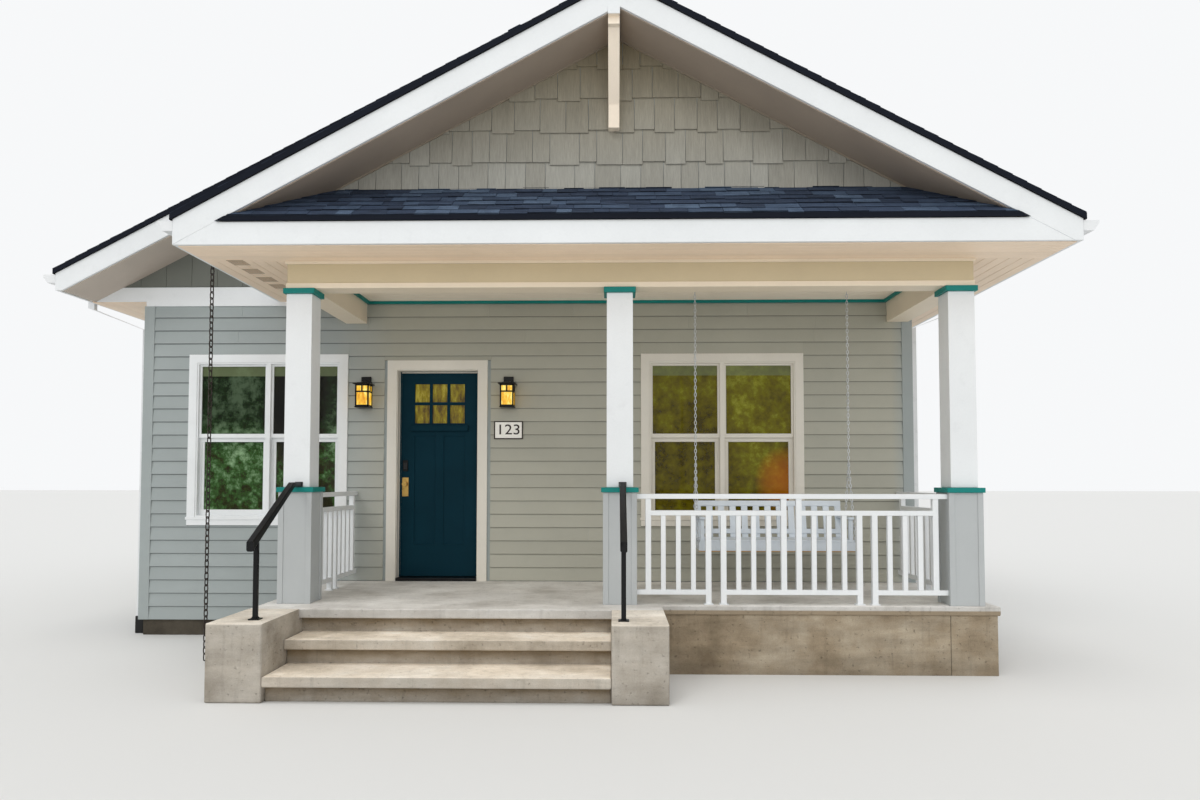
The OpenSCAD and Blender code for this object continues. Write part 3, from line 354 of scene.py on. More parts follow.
def rounded_long(piece, width, shortest, segments=2):
    """Round only the piece's long, sharp edges."""
    with edit_mode(piece, "EDGE", lambda a, b: False):
        bpy.ops.mesh.edges_select_sharp(sharpness=math.radians(35))
    mesh = piece.data
    weight = mesh.attributes.new("bevel_weight_edge", "FLOAT", "EDGE")
    for edge, mark in zip(mesh.edges, weight.data):
        a, b = (mesh.vertices[i].co for i in edge.vertices)
        mark.value = float(edge.select and (a - b).length > shortest)
    return smoothed(rounded(piece, width, segments, limit="WEIGHT"))


def cut_off(piece, point, normal):
    """Cut the piece by a plane, drop what lies on the normal's side and close the cut."""
    place = Vector(point) + Vector((0, FACE, 0))
    with edit_mode(piece):
        bpy.ops.mesh.bisect(plane_co=place, plane_no=Vector(normal), use_fill=True, clear_outer=True)


def cut_each(pieces, cuts):
    """Cut each piece by itself, so that every cut closes, and leave out what is cut away."""
    for piece in pieces:
        for point, normal in cuts:
            cut_off(piece, point, normal)
    kept = [piece for piece in pieces if piece.data.polygons]
    discard(*[piece for piece in pieces if not piece.data.polygons])
    return kept


def copied(master, place, turn=(0, 0, 0), size=(1, 1, 1)):
    """Another one of the master, with a mesh of its own."""
    copy = bpy.data.objects.new(master.name, master.data.copy())
    bpy.context.scene.collection.objects.link(copy)
    copy.location = place
    copy.rotation_euler = turn
    copy.scale = size
    return copy


def joined(name, pieces):
    settle(*pieces)
    if len(pieces) > 1:
        bpy.ops.object.join()
    piece = bpy.context.object
    piece.name = name
    piece.data.name = name
    return piece


def discard(*pieces):
    for piece in pieces:
        bpy.data.objects.remove(piece)


def marked(piece, name, test):
    """Give each corner the number that a test returns for it, which the material reads."""
    mesh = piece.data
    layer = mesh.attributes.get(name) or mesh.attributes.new(name, "FLOAT", "POINT")
    layer.data.foreach_set("value", [float(test(corner.co)) for corner in mesh.vertices])
    return piece


def tint(piece, value):
    """Give the piece its own tone."""
    return marked(piece, "tone", lambda co: value)


def outward(piece):
    """Make the faces point outwards again."""
    with edit_mode(piece):
        bpy.ops.mesh.normals_make_consistent(inside=False)


def fitted(piece, slot, look="", body="house", node=""):
    """Put a finished piece on its body, in its slot's material or another look of that slot."""
    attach(piece, body)
    if node:
        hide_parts(node)
    piece.data.materials.clear()
    piece.data.materials.append(looks[look or slot])


def stand_in(piece, node, look=""):
    """Put a finished piece in the place of a CAD node."""
    fitted(piece, SLOT_OF[node], look, BODY_OF[node], node)


def plan(name):
    """A copy of a CAD node's mesh with its triangles joined at their corners."""
    piece = bpy.data.objects.new(name + "_finished", nodes[name].data.copy())
    bpy.context.scene.collection.objects.link(piece)
    with edit_mode(piece):
        bpy.ops.mesh.remove_doubles(threshold=0.00002)
    return piece


# Lap siding: one board, copied along each wall between its openings
def siding_board():
    """A tapered board, marked along its top, where the material paints the shade of the next board's butt.
    """
    board = block((0, -0.018, 0), (1, 0, EXPOSURE), 0)
    push(board, lambda co: co.z > EXPOSURE / 2 and co.y < -0.007, (0, 0.015, 0))
    with edit_mode(board, "EDGE", lambda a, b: max(a.z, b.z) < 0.01 and max(a.y, b.y) < -0.007):
        bpy.ops.mesh.bevel(offset=0.002, segments=1)
    with edit_mode(board):
        bpy.ops.mesh.bisect(plane_co=(0, 0, EXPOSURE - 0.013), plane_no=(0, 0, 1))
    return marked(board, "lap", lambda co: co.z > EXPOSURE - 0.001)


def free_spans(start, end, blocked):
    """What is left of a run between start and end beside the blocked stretches."""
    spans = []
    for low, high in sorted(blocked):
        if low > start:
            spans.append((start, min(low, end)))
        start = max(start, high)
    if start < end:
        spans.append((start, end))
    return [(a, b) for a, b in spans if b - a > 0.02]


def board_runs(start, end, top, openings):
    """Each board's start, end, foot and height, with the openings left free."""
    runs = []
    z = SIDING_FOOT
    while z < top - 0.01:
        head = min(z + EXPOSURE, top)
        crossing = [o for o in openings if o[2] < head - 0.002 and o[3] > z + 0.002]
        for a, b in free_spans(start, end, [(o[0], o[1]) for o in crossing]):
            runs.append((a, b, z, head - z))
        for left, right, foot, lintel in crossing:
            if foot > z + 0.012:
                runs.append((left, right, z, foot - z))
            if lintel < head - 0.012:
                runs.append((left, right, lintel, head - lintel))
        z += EXPOSURE
    return runs


def butted(runs, chance):
    """Split long runs where one board ends and the next one starts."""
    out = []
    for a, b, z, height in runs:
        while b - a > 3.6 or (b - a > 2.2 and chance.random() < 0.25):
            joint = a + chance.uniform(0.9, min(3.4, b - a - 0.5))
            out.append((a, joint - 0.001, z, height))
            a = joint + 0.001
        out.append((a, b, z, height))
    return out


def clad(name, board, runs, corner, turn, chance):
    """Nail the boards of one wall up: corner is where its run starts, turn its direction."""
    across = Matrix.Rotation(turn, 3, "Z")
    boards = []
    for a, b, z, height in butted(runs, chance):
        place = Vector(corner) + across @ Vector((a, 0, 0)) + Vector((0, FACE, z))
        size = (b - a, 1, height / EXPOSURE)
        boards.append(tint(copied(board, place, (0, 0, turn), size), chance.random()))
    fitted(joined(name, boards), "siding", "lap_siding")


def lay_siding():
    chance = random.Random(11)
    board = siding_board()
    corner_board = 0.08
    end = HALF_HOUSE - corner_board
    half_door = 0.617
    half_window = 0.93
    sill = FLOOR + 0.632
    lintel = FLOOR + 2.612
    door = (DOOR_X - half_door, DOOR_X + half_door, FLOOR, FLOOR + 2.538)
    porch = (-2.24, 4.57, 0, FLOOR)
    front, side, rear = (
        [(middle - half_window, middle + half_window, sill, lintel) for middle in windows]
        for windows in (FRONT_WINDOWS, SIDE_WINDOWS, REAR_WINDOWS)
    )
    runs = board_runs(-end, end, FRIEZE + 0.05, [*front, door, porch])
    clad("front_siding", board, runs, (0, 0, 0), 0, chance)
    runs = board_runs(corner_board, HOUSE_DEPTH - corner_board, EAVE, side)
    clad("right_siding", board, runs, (HALF_HOUSE, 0, 0), math.pi / 2, chance)
    turned = [(HOUSE_DEPTH - b, HOUSE_DEPTH - a, z, h) for a, b, z, h in runs]
    clad("left_siding", board, turned, (-HALF_HOUSE, HOUSE_DEPTH, 0), -math.pi / 2, chance)
    runs = board_runs(-end, end, FRIEZE, rear)
    clad("rear_siding", board, runs, (0, HOUSE_DEPTH, 0), math.pi, chance)
    discard(board)


# The main gables: upright boards with open joints, cut to the slopes
def under_roof(x):
    return UNDER_EAVE + (HALF_ROOF - abs(x)) * MAIN_GRADE


def gable_boards():
    chance = random.Random(3)
    width = 0.3
    gap = 0.0025
    shortest = 0.04
    board = bar((0, -0.012, 0), (width - gap, 0, 1), 0.002, 1, 0)
    for name, face, turn in (("front_gable_boards", 0, 0), ("rear_gable_boards", HOUSE_DEPTH, math.pi)):
        boards = []
        for x in (i * width for i in range(-16, 16)):
            height = under_roof(min(abs(x), abs(x + width))) - FRIEZE_TOP
            if height >= shortest:
                copy = copied(board, (x, 0, FRIEZE_TOP), size=(1, 1, height))
                boards.append(tint(copy, chance.random()))
        gable = joined(name, boards)
        gable.rotation_euler.z = turn
        gable.location.y = FACE + face
        settle(gable)
        for side in (-1, 1):
            cut_off(gable, (0, face, under_roof(0)), (side * MAIN_GRADE, 0, 1))
        fitted(gable, "siding", "upright_siding")
    discard(board)


# Cedar look shakes on the porch gable: staggered butts over plain courses
def lay_shakes():
    chance = random.Random(5)
    length = SHAKE_EXPOSURE + 0.05
    master = block((0, -0.021, 0), (1, 0, length), 0)
    push(master, lambda co: co.z > 0.1 and co.y < -0.008, (0, 0.018, 0))
    courses = []
    for course in range(5):
        shakes = []
        z = SHAKE_FOOT + course * SHAKE_EXPOSURE
        reach = (PORCH_PEAK - z) / PORCH_GRADE
        x = PORCH_RIDGE - reach - chance.uniform(0.05, 0.2)
        low = chance.random() < 0.5
        while x < PORCH_RIDGE + reach:
            width = chance.choice((0.165, 0.19, 0.215, 0.245, 0.28))
            drop = 0.0 if course == 0 else (0.028 if low else 0.0) + chance.uniform(0, 0.003)
            place = (x, FACE + BEAM_FACE, z - drop)
            size = (width - 0.005, 1, (SHAKE_EXPOSURE + 0.02 + drop) / length)
            shakes.append(tint(copied(master, place, size=size), chance.random()))
            x += width
            low = not low if chance.random() < 0.8 else low
        courses.append(joined("course", shakes))
    cuts = [((PORCH_RIDGE, BEAM_FACE, PORCH_PEAK), (side * PORCH_GRADE, 0, 1)) for side in (-1, 1)]
    fitted(joined("porch_gable_shakes", cut_each(courses, cuts)), "siding", "shake_wood")
    discard(master)


def lay_gable_moulding():
    """Thin strips where the shake wall meets the sloping soffit."""
    strips = []
    for side in (-1, 1):
        strip = block((0, -0.024, -0.02), (4.3, 0, -0.002), 0)
        strip.scale.x = side
        strip.rotation_euler.y = side * math.atan(PORCH_GRADE)
        strip.location = (PORCH_RIDGE, FACE + BEAM_FACE, PORCH_PEAK)
        strips.append(strip)
    moulding = joined("gable_moulding", strips)
    cut_off(moulding, (PORCH_RIDGE, BEAM_FACE, 4.5), (0, 0, -1))
    outward(moulding)
    fitted(moulding, "trim", "moulding")


# Roof shingles: courses of tabs, copied up each slope
def shingle_course(length, chance):
    """One course along X, its butt edge at Y = 0, rising to the back."""
    tab = block((0, 0, 0), (1, TAB_EXPOSURE + 0.03, 0.007), 0)
    push(tab, lambda co: co.y > 0.05 and co.z > 0.003, (0, 0, -0.0065))
    tabs = []
    x = 0.0
    while x < length:
        width = chance.choice((0.14, 0.19, 0.25, 0.31))
        thick = chance.choice((0.55, 0.8, 1.0))
        set_back = chance.choice((0, 0, 0.006, 0.012))
        size = (width - 0.004, 1, thick)
        tabs.append(tint(copied(tab, (x, set_back, 0), size=size), chance.random()))
        x += width
    discard(tab)
    return joined("course", tabs)


def courses_up(courses, foot, rise, turn, length, exposure, chance, thick=1.0):
    """Copies of the courses, one above another, from the eave at foot up the slope."""
    laid = []
    place = Matrix.Translation(foot) @ Matrix.Rotation(turn, 4, "Z") @ Matrix.Rotation(rise, 4, "X")
    for i in range(int(length / exposure) + 1):
        along = i * exposure
        if along > length - 0.02:
            break
        copy = copied(chance.choice(courses), (0, 0, 0))
        start = -0.01 - chance.uniform(0, 0.6)
        shift = Matrix.Translation((start, along, 0)) @ Matrix.Diagonal((1, 1, thick, 1))
        copy.data.transform(place @ shift)
        laid.append(copy)
    return laid


def slope_piece(name, courses, roof, side, y0, y1, chance, more=()):
    """The courses of one roof slope, between two depths, up to the ridge."""
    ridge, half, grade = roof
    pitch = math.atan(grade)
    edge = half + 0.02
    foot = (ridge + side * edge, FACE + (y0 if side > 0 else y1), DECK_EAVE + SHINGLE_T - 0.02 * grade)
    laid = courses_up(courses, foot, pitch, side * math.pi / 2, edge / math.cos(pitch), TAB_EXPOSURE, chance)
    cuts = [((0, y0, 0), (0, -1, 0)), ((0, y1, 0), (0, 1, 0)), ((ridge, 0, 0), (-side, 0, 0)), *more]
    return joined(name, cut_each(laid, cuts))


def ridge_caps(name, roof, y0, y1, chance):
    """Folded caps along a ridge, each lapping the next one."""
    ridge, half, grade = roof
    wing = 0.13
    lift = 0.008
    cap = block((-wing, 0, -0.004), (wing, 0.2, 0.003), 0)
    with edit_mode(cap):
        bpy.ops.mesh.bisect(plane_co=(0, 0, 0), plane_no=(1, 0, 0))
    push(cap, lambda co: abs(co.x) > wing / 2, (0, 0, -wing * grade))
    push(cap, lambda co: co.y < 0.1, (0, 0, lift))
    caps = []
    y = y0
    while y < y1 - 0.05:
        place = (ridge, FACE + y, DECK_EAVE + SHINGLE_T + half * grade + lift)
        caps.append(tint(copied(cap, place), chance.random()))
        y += TAB_EXPOSURE
    discard(cap)
    piece = joined(name, caps)
    cut_off(piece, (0, y1, 0), (0, 1, 0))
    return piece


def pent_courses(courses, chance):
    """The skirt roof's courses, cut to the sloping soffits at both ends."""
    low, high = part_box("pent_roof")
    run = BEAM_FACE - PORCH_FRONT
    rise = 0.43
    foot = (low.x, FACE + PORCH_FRONT, high.z - rise)
    pitch = math.atan2(rise, run)
    laid = courses_up(courses, foot, pitch, 0, math.hypot(run, rise), SKIRT_EXPOSURE, chance, thick=2.2)
    cuts = [((PORCH_RIDGE, 0, PORCH_PEAK - 0.004), (side * PORCH_GRADE, 0, 1)) for side in (-1, 1)]
    cuts.append(((0, BEAM_FACE - 0.012, 0), (0, 1, 0)))
    return joined("pent_courses", cut_each(laid, cuts))


def lay_roofs():
    chance = random.Random(17)
    longest = 13.2
    courses = [shingle_course(longest, chance) for _ in range(3)]
    eave = ((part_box("porch_shingles_left")[0].x, 0, 0), (-1, 0, 0))
    inner = ((-0.01, 0, 0), (1, 0, 0))
    for name, roof, side, y0, y1, more in (
        ("main_courses_left", MAIN, -1, MAIN_FRONT, ROOF_END, ()),
        ("main_courses_right", MAIN, 1, MAIN_FRONT, ROOF_END, ()),
        ("porch_courses_left", PORCH, -1, PORCH_FRONT, MAIN_FRONT, [eave]),
        ("porch_courses_right", PORCH, 1, PORCH_FRONT, MAIN_FRONT, ()),
        ("porch_courses_under_rake", PORCH, -1, MAIN_FRONT, 0, [inner, eave]),
    ):
        fitted(slope_piece(name, courses, roof, side, y0, y1, chance, more), "shingles")
    fitted(ridge_caps("main_ridge_caps", MAIN, MAIN_FRONT, ROOF_END, chance), "shingles")
    fitted(ridge_caps("porch_ridge_caps", PORCH, PORCH_FRONT, MAIN_FRONT + 0.3, chance), "shingles")
    fitted(pent_courses(courses, chance), "shingles", "skirt")
    discard(*courses)


# Soffits: level boards under the overhangs and smooth panels under the rakes
def soffit_strip(low, high, gap=0.004):
    """One board with eased edges, which leaves a gap to the next."""
    return bar(low, (high[0] - gap, high[1] - gap, high[2]), 0.003, 1)


def level_boards(name, x0, x1, y0, y1, along_x, chance):
    boards = []
    width = (y1 - y0) if along_x else (x1 - x0)
    count = max(1, round(width / SOFFIT_BOARD))
    step = width / count
    for i in range(count):
        low = (x0, y0 + i * step) if along_x else (x0 + i * step, y0)
        high = (x1, y0 + (i + 1) * step) if along_x else (x0 + (i + 1) * step, y1)
        boards.append(tint(soffit_strip((*low, EAVE - SOFFIT_T), (*high, EAVE)), chance.random()))
    return joined(name, boards)


def rake_panel(name, roof, side, y0, y1):
    """A smooth panel under one rake, from the ridge down to the eave."""
    ridge, half, grade = roof
    length = (half - 0.045) / math.cos(math.atan(grade))
    panel = tint(soffit_strip((0, y0, -SOFFIT_T), (length, y1, 0)), random.Random(2).random())
    piece = joined(name, [panel])
    piece.data.transform(Matrix.Rotation(math.atan(grade), 4, "Y"))
    piece.scale.x = side
    piece.location = (ridge, 0, UNDER_EAVE + half * grade)
    settle(piece)
    if side < 0:
        outward(piece)
    cut_off(piece, (0, 0, EAVE), (0, 0, -1))
    return piece


def lay_soffits():
    chance = random.Random(23)
    right = HALF_ROOF - 0.035
    front = -2.37
    main_front = -0.595
    for name, *edges in (
        ("front_soffit", CEILING_LEFT, right, front, BEAM_FACE, True),
        ("left_porch_soffit", CEILING_LEFT, BEAM_LEFT, BEAM_FACE, 0, False),
        ("right_porch_soffit", BEAM_RIGHT, right, BEAM_FACE, 0, False),
        ("right_eave_soffit", HALF_HOUSE, right, 0, HOUSE_DEPTH, False),
        ("left_eave_soffit", -right, -HALF_HOUSE, 0, HOUSE_DEPTH, False),
    ):
        fitted(level_boards(name, *edges, chance), "soffit")
    beam = 0.23
    ceiling = level_boards("ceiling_boards", BEAM_LEFT + beam, BEAM_RIGHT - beam, -1.6, 0, True, chance)
    fitted(ceiling, "trim", "ceiling")
    rear = (HOUSE_DEPTH, ROOF_END - 0.055)
    left = rake_panel("porch_soffit_left", PORCH, -1, front, BEAM_FACE)
    cut_off(left, (CEILING_LEFT, 0, 0), (-1, 0, 0))
    fitted(left, "soffit", "rake_soffit")
    fitted(rake_panel("porch_soffit_right", PORCH, 1, front, BEAM_FACE), "soffit", "rake_soffit")
    fitted(rake_panel("rake_soffit_left", MAIN, -1, main_front, 0), "soffit", "main_rake")
    fitted(rake_panel("rear_soffit_left", MAIN, -1, *rear), "soffit", "main_rake")
    fitted(rake_panel("rear_soffit_right", MAIN, 1, *rear), "soffit", "main_rake")


def lay_vents():
    """Four louvred vents in the porch's left soffit."""
    slots = []
    for y in (-1.9, -1.56, -1.22, -0.9):
        for row in range(6):
            foot = y + row * 0.034
            slot = block((-2.63, foot, EAVE - 0.012), (-2.475, foot + 0.022, EAVE - 0.006))
            push(slot, lambda co: co.y > FACE + foot + 0.01, (0, 0, 0.004))
            slots.append(slot)
    fitted(joined("soffit_vents", slots), "soffit", "vent")


# Trim: boards over the CAD beams and corner boards on the pedestals
def beam_wrap(foot, top, proud, lap, width=0.004, segments=2):
    """Strips along the front of the beam and both of its sides, standing proud of it."""
    return [
        bar((BEAM_LEFT - lap, BEAM_FACE - proud, foot), (BEAM_RIGHT + lap, BEAM_FACE, top), width, segments),
        bar((BEAM_LEFT - proud, BEAM_FACE, foot), (BEAM_LEFT, 0, top), width, segments),
        bar((BEAM_RIGHT, BEAM_FACE, foot), (BEAM_RIGHT + proud, 0, top), width, segments),
    ]


def beam_boards():
    """The core is painted pale, and its outer faces carry a coloured board between two pale strips."""
    core = smoothed(rounded(plan("porch_beams"), 0.004))
    fitted(core, "trim", "strip", node="porch_beams")
    foot = EAVE - 0.265
    low, high = foot + 0.05, EAVE - 0.034
    fitted(joined("beam_panels", beam_wrap(low, high, 0.006, 0, 0.002, 1)), "beam_siding")
    strips = beam_wrap(foot, low, 0.014, 0.014) + beam_wrap(high, EAVE - 0.006, 0.022, 0.022)
    fitted(joined("beam_strips", strips), "trim", "strip")


def pedestal_trims():
    """A corner board on each corner of each pedestal."""
    posts = []
    inset = 0.018
    half = 0.026
    top = 1.669
    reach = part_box("column_pedestals")[1].x - COLUMNS[2] - inset
    for column in COLUMNS:
        for sx, sy in CORNERS:
            x, y = column + sx * reach, COLUMN_Y + sy * reach
            posts.append(bar((x - half, y - half, FLOOR), (x + half, y + half, top), 0.004))
    fitted(smoothed(joined("pedestal_trims", posts)), "pedestal_siding")


# The door: painted liners round its leaf, and its lock
def build_door():
    # Door-coloured liners over the stops round the leaf give it a dark edge line: painted shade of the gap
    # between leaf and frame
    half = 0.4575
    inner = 0.443
    foot, head = FLOOR + 0.036, 3.0455
    liners = []
    for x0, x1, z0, z1 in (
        (-half, -inner, foot, head),
        (inner, half, foot, head),
        (-half, half, head, 3.0585),
    ):
        liners.append(bar((DOOR_X + x0, 0.0985, z0), (DOOR_X + x1, 0.1015, z1), 0.0006, 1))
    fitted(joined("jamb_liners", liners), "door_paint")


def build_lockset():
    """The lock's plate and knobs are brass, and the keypad over them is black."""
    with edit_mode(plan("door_lockset")):
        bpy.ops.mesh.separate(type="LOOSE")
    keypad_foot = FLOOR + 1.24
    brass, keypad = [], []
    for part in list(bpy.context.selected_objects):
        foot = min(corner.co.z for corner in part.data.vertices)
        (keypad if foot > keypad_foot else brass).append(part)
    stand_in(smoothed(rounded(joined("lock_brass", brass), 0.002, 2, 50), 50), "door_lockset")
    fitted(smoothed(rounded(joined("lock_keypad", keypad), 0.006, 3)), "black_metal", body="door")
    keys = []
    for i in range(8):
        x = DOOR_X - 0.412 + i % 2 * 0.019
        z = FLOOR + 1.285 + i // 2 * 0.018
        keys.append(bar((x, DOOR_Y - 0.0245, z), (x + 0.015, DOOR_Y - 0.0215, z + 0.013), 0.001, 1))
    fitted(joined("lock_keys", keys), "black_metal", "keys", "door")


# Windows: blinds drawn up behind the upper panes, and wide stiles before the lower ones
def at_windows(name, master, heights):
    """Copies of a piece in the middle of every sash pair of every window, at each of the heights."""
    windows = [(x, 0, 0) for x in FRONT_WINDOWS]
    for side in (-1, 1):
        windows += [(side * HALF_HOUSE, y, side * math.pi / 2) for y in SIDE_WINDOWS]
    windows += [(x, HOUSE_DEPTH, math.pi) for x in REAR_WINDOWS]
    copies = []
    for x, y, turn in windows:
        for unit in (-0.4215, 0.4215):
            across = Matrix.Rotation(turn, 3, "Z") @ Vector((unit, 0, 0))
            copies += [copied(master, Vector((x, FACE + y, z)) + across, (0, 0, turn)) for z in heights]
    discard(master)
    return joined(name, copies)


def window_details():
    fold = bar((-0.369, 0.118, -0.016), (0.369, 0.15, 0), 0.005, 1, 0)
    folds = at_windows("raised_blinds", fold, [3.125 - i * 0.0175 for i in range(8)])
    fitted(folds, "trim", "blind")
    sides = ((-0.3735, -0.3455), (0.3455, 0.3735))
    pair = [bar((left, 0.052, 1.44), (right, 0.0665, 2.2285), 0.003, 1, 0) for left, right in sides]
    fitted(smoothed(at_windows("sash_stiles", joined("stiles", pair), [0])), "trim", "casing")


# Lanterns: a cage of bars round amber glass, under a flared top
def lantern_cage():
    """Back box, arm, flat brim, cap, corner posts, and the bars that cross each side."""
    t = 0.017
    post = CAGE - t / 2
    inner = CAGE - t
    cap = block((-0.06, -0.06, 0.092), (0.06, 0.06, 0.1), LANTERN_Y)
    with edit_mode(cap, "FACE", lambda f: f.normal.z > 0.9):
        bpy.ops.mesh.inset(thickness=0.03, depth=0.008)
    parts = [
        bar((-0.058, -0.034, 0.02), (0.058, 0, 0.182), 0.006, face=0),
        bar((-0.024, LANTERN_Y, 0.096), (0.024, -0.03, 0.124), 0.005, face=0),
        bar((-0.101, -0.101, 0.08), (0.101, 0.101, 0.092), 0.004, face=LANTERN_Y),
        bar((-0.083, -0.083, -0.185), (0.083, 0.083, -0.172), 0.003, face=LANTERN_Y),
        cap,
    ]
    bars = [(x - t / 2, y - t / 2, -0.172, x + t / 2, y + t / 2, 0.08)
            for x, y in ((sx * post, sy * post) for sx, sy in CORNERS)]
    for reach, foot, top in ((CAGE, -0.172, t - 0.172), (CAGE, -0.012, t - 0.012), (CAGE, 0.063, t + 0.063),
                             (t / 2, 0.0, 0.07)):
        bars += [
            (-reach, -CAGE, foot, reach, -inner, top),
            (-reach, inner, foot, reach, CAGE, top),
            (-CAGE, -reach, foot, -inner, reach, top),
            (inner, -reach, foot, CAGE, reach, top),
        ]
    parts += [bar(sides[:3], sides[3:], 0.002, 1, LANTERN_Y) for sides in bars]
    return joined("cage", parts)


def lantern_glass():
    """A panelled block of amber glass that fills the cage."""
    w = CAGE - 0.007
    glass = block((-w, -w, -0.165), (w, w, 0.078), LANTERN_Y)
    with edit_mode(glass, "FACE", lambda f: f.normal.z < -0.9):
        bpy.ops.mesh.inset(thickness=0.008, depth=-0.004)
    return rounded(glass, 0.003, 1)


def build_lanterns():
    cage = lantern_cage()
    glass = lantern_glass()
    places = [(DOOR_X + side * LANTERN_X, FACE, FLOOR + 2.165) for side in (-1, 1)]
    stand_in(joined("lantern_cages", [copied(cage, place) for place in places]), "lanterns")
    panes = joined("lantern_panes", [copied(glass, place) for place in places])
    fitted(panes, "window_glass", "amber_glass")
    discard(cage, glass)


def build_plaque():
    """A glazed tile in a dark frame, with plain numbers."""
    x, z = DOOR_X + LANTERN_X, FLOOR + 1.73
    tile = bar((x - 0.155, -0.021, z - 0.093), (x + 0.155, 0, z + 0.093), 0.004, name="plaque_tile")
    stand_in(smoothed(tile), "number_plaque")
    rim = block((x - 0.166, -0.027, z - 0.1035), (x + 0.166, -0.001, z + 0.1035), name="plaque_rim")
    with edit_mode(rim, "FACE", lambda f: abs(f.normal.y) > 0.9):
        bpy.ops.mesh.inset(thickness=0.0115, depth=0)
        bpy.ops.mesh.bridge_edge_loops()
    fitted(smoothed(rounded(rim, 0.003)), "dark_copper")
    deselect()
    bpy.ops.object.text_add()
    text = bpy.context.object
    text.data.body = "123"
    text.data.size = 0.165
    text.data.extrude = 0.003
    text.data.align_x = "CENTER"
    text.data.align_y = "CENTER"
    pick(text)
    bpy.ops.object.convert(target="MESH")
    numbers = bpy.context.object
    numbers.name = "plaque_numbers"
    with edit_mode(numbers):
        bpy.ops.mesh.remove_doubles(threshold=0.0001)
    numbers.rotation_euler.x = math.pi / 2
    numbers.location = (x, FACE - 0.0225, z)
    numbers.scale = (1.15, 1, 1)
    fitted(settle(numbers), "dark_copper")


# Chains: one oval link, copied along its line with every other one turned
def wire_ring(radius, wire, around, across, turn, place=(0, 0, 0)):
    deselect()
    bpy.ops.mesh.primitive_torus_add(
        major_radius=radius, minor_radius=wire, major_segments=around, minor_segments=across,
        rotation=turn, location=place,
    )
    return bpy.context.object


def oval_link(length, width, wire, around=12, across=5):
    link = settle(wire_ring(width / 2 - wire, wire, around, across, (math.pi / 2, 0, 0)))
    for side in (-1, 1):
        push(link, lambda co: co.z * side > 0.0001, (0, 0, side * (length - width) / 2))
    return smoothed(link, 60)


def chain_along(link, pitch, start, end):
    """Links from one point to another, every other one turned a quarter."""
    start, end = Vector(start), Vector(end)
    line = end - start
    count = max(2, round(line.length / pitch))
    turn = line.to_track_quat("Z", "Y").to_matrix().to_4x4()
    links = []
    for i in range(count):
        place = start + line * ((i + 0.5) / count)
        twist = Matrix.Rotation(math.pi / 2 * (i % 2) + 0.25, 4, "Z")
        copy = copied(link, (0, 0, 0))
        copy.data.transform(Matrix.Translation(place) @ turn @ twist)
        links.append(copy)
    return links


def hang_rain_chain():
    low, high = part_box("rain_chain")
    x, y = (low.x + high.x) / 2, (low.y + high.y) / 2
    link = oval_link(0.086, 0.05, 0.0058)
    links = chain_along(link, 0.06, (x, y, high.z), (x, y, low.z))
    discard(link)
    stand_in(joined("rain_chain_links", links), "rain_chain")


def hang_swing_chains():
    """On each side a run from the hook to a ring, and from there two strands to the bench."""
    pitch = 0.037
    link = oval_link(0.05, 0.028, 0.004, 10, 4)
    half = 0.795
    spread = 0.22
    y = FACE + SWING_Y
    hook = EAVE - 0.056
    rail = SEAT_Z - 0.05
    links, rings = [], []
    for x in (SWING_X - half, SWING_X + half):
        fork = (x, y, FLOOR + 1.33)
        links += chain_along(link, pitch, (x, y, hook), fork)
        for side in (-1, 1):
            links += chain_along(link, pitch, fork, (x, y + side * spread, rail))
        rings.append(smoothed(wire_ring(0.022, 0.004, 20, 8, (0, math.pi / 2, 0), fork), 60))
    discard(link)
    stand_in(joined("swing_chain_links", links + rings), "swing_chains")


def slat(low, high, width=0.003):
    """A slat or rail of the swing, placed from the middle of its seat."""
    low, high = ([a + b for a, b in zip(end, (SWING_X, SWING_Y, SEAT_Z))] for end in (low, high))
    return bar(low, high, width, name="slat")


def build_swing():
    half = 0.78
    side = 0.788
    seat = []
    for y in (-0.25 + i * 0.0627 for i in range(8)):
        seat.append(slat((-half, y, -0.02), (half, y + 0.055, 0)))
    for x in (-half, half - 0.06):
        seat.append(slat((x, -0.25, 0.205), (x + 0.06, 0.27, 0.23), 0.006))
        seat.append(slat((x + 0.01, -0.23, 0), (x + 0.05, -0.19, 0.205)))
    back = []
    for x in (-half + i * (2 * half - 0.066) / 12 for i in range(13)):
        back.append(slat((x, 0, 0), (x + 0.066, 0.02, 0.415)))
    back.append(slat((-half, -0.006, 0.355), (half, 0.026, 0.415), 0.006))
    back.append(slat((-half, -0.006, 0.06), (half, 0.026, 0.11)))
    pivot = Vector((SWING_X, FACE + SWING_Y, SEAT_Z))
    move = Matrix.Translation(pivot + Vector((0, 0.21, -0.02)))
    lean = move @ Matrix.Rotation(math.radians(-12), 4, "X") @ Matrix.Translation(-pivot)
    for board in back:
        board.data.transform(lean)
    chance = random.Random(31)
    for board in seat + back:
        tint(board, chance.random())
    stand_in(smoothed(joined("swing_slats", seat + back)), "swing_bench")
    rails = [slat((-side, y, -0.11), (side, y + 0.045, -0.0205)) for y in (-0.25, 0.205)]
    for x in (-side, -0.0225, side - 0.045):
        rails.append(slat((x, -0.245, -0.105), (x + 0.045, 0.245, -0.0205)))
    fitted(smoothed(joined("swing_rails", rails)), "swing_paint", body="swing")
    keel = slat((-side, -0.24, -0.122), (side, -0.2, -0.1095))
    fitted(smoothed(keel), "swing_paint", "bare_wood", "swing")


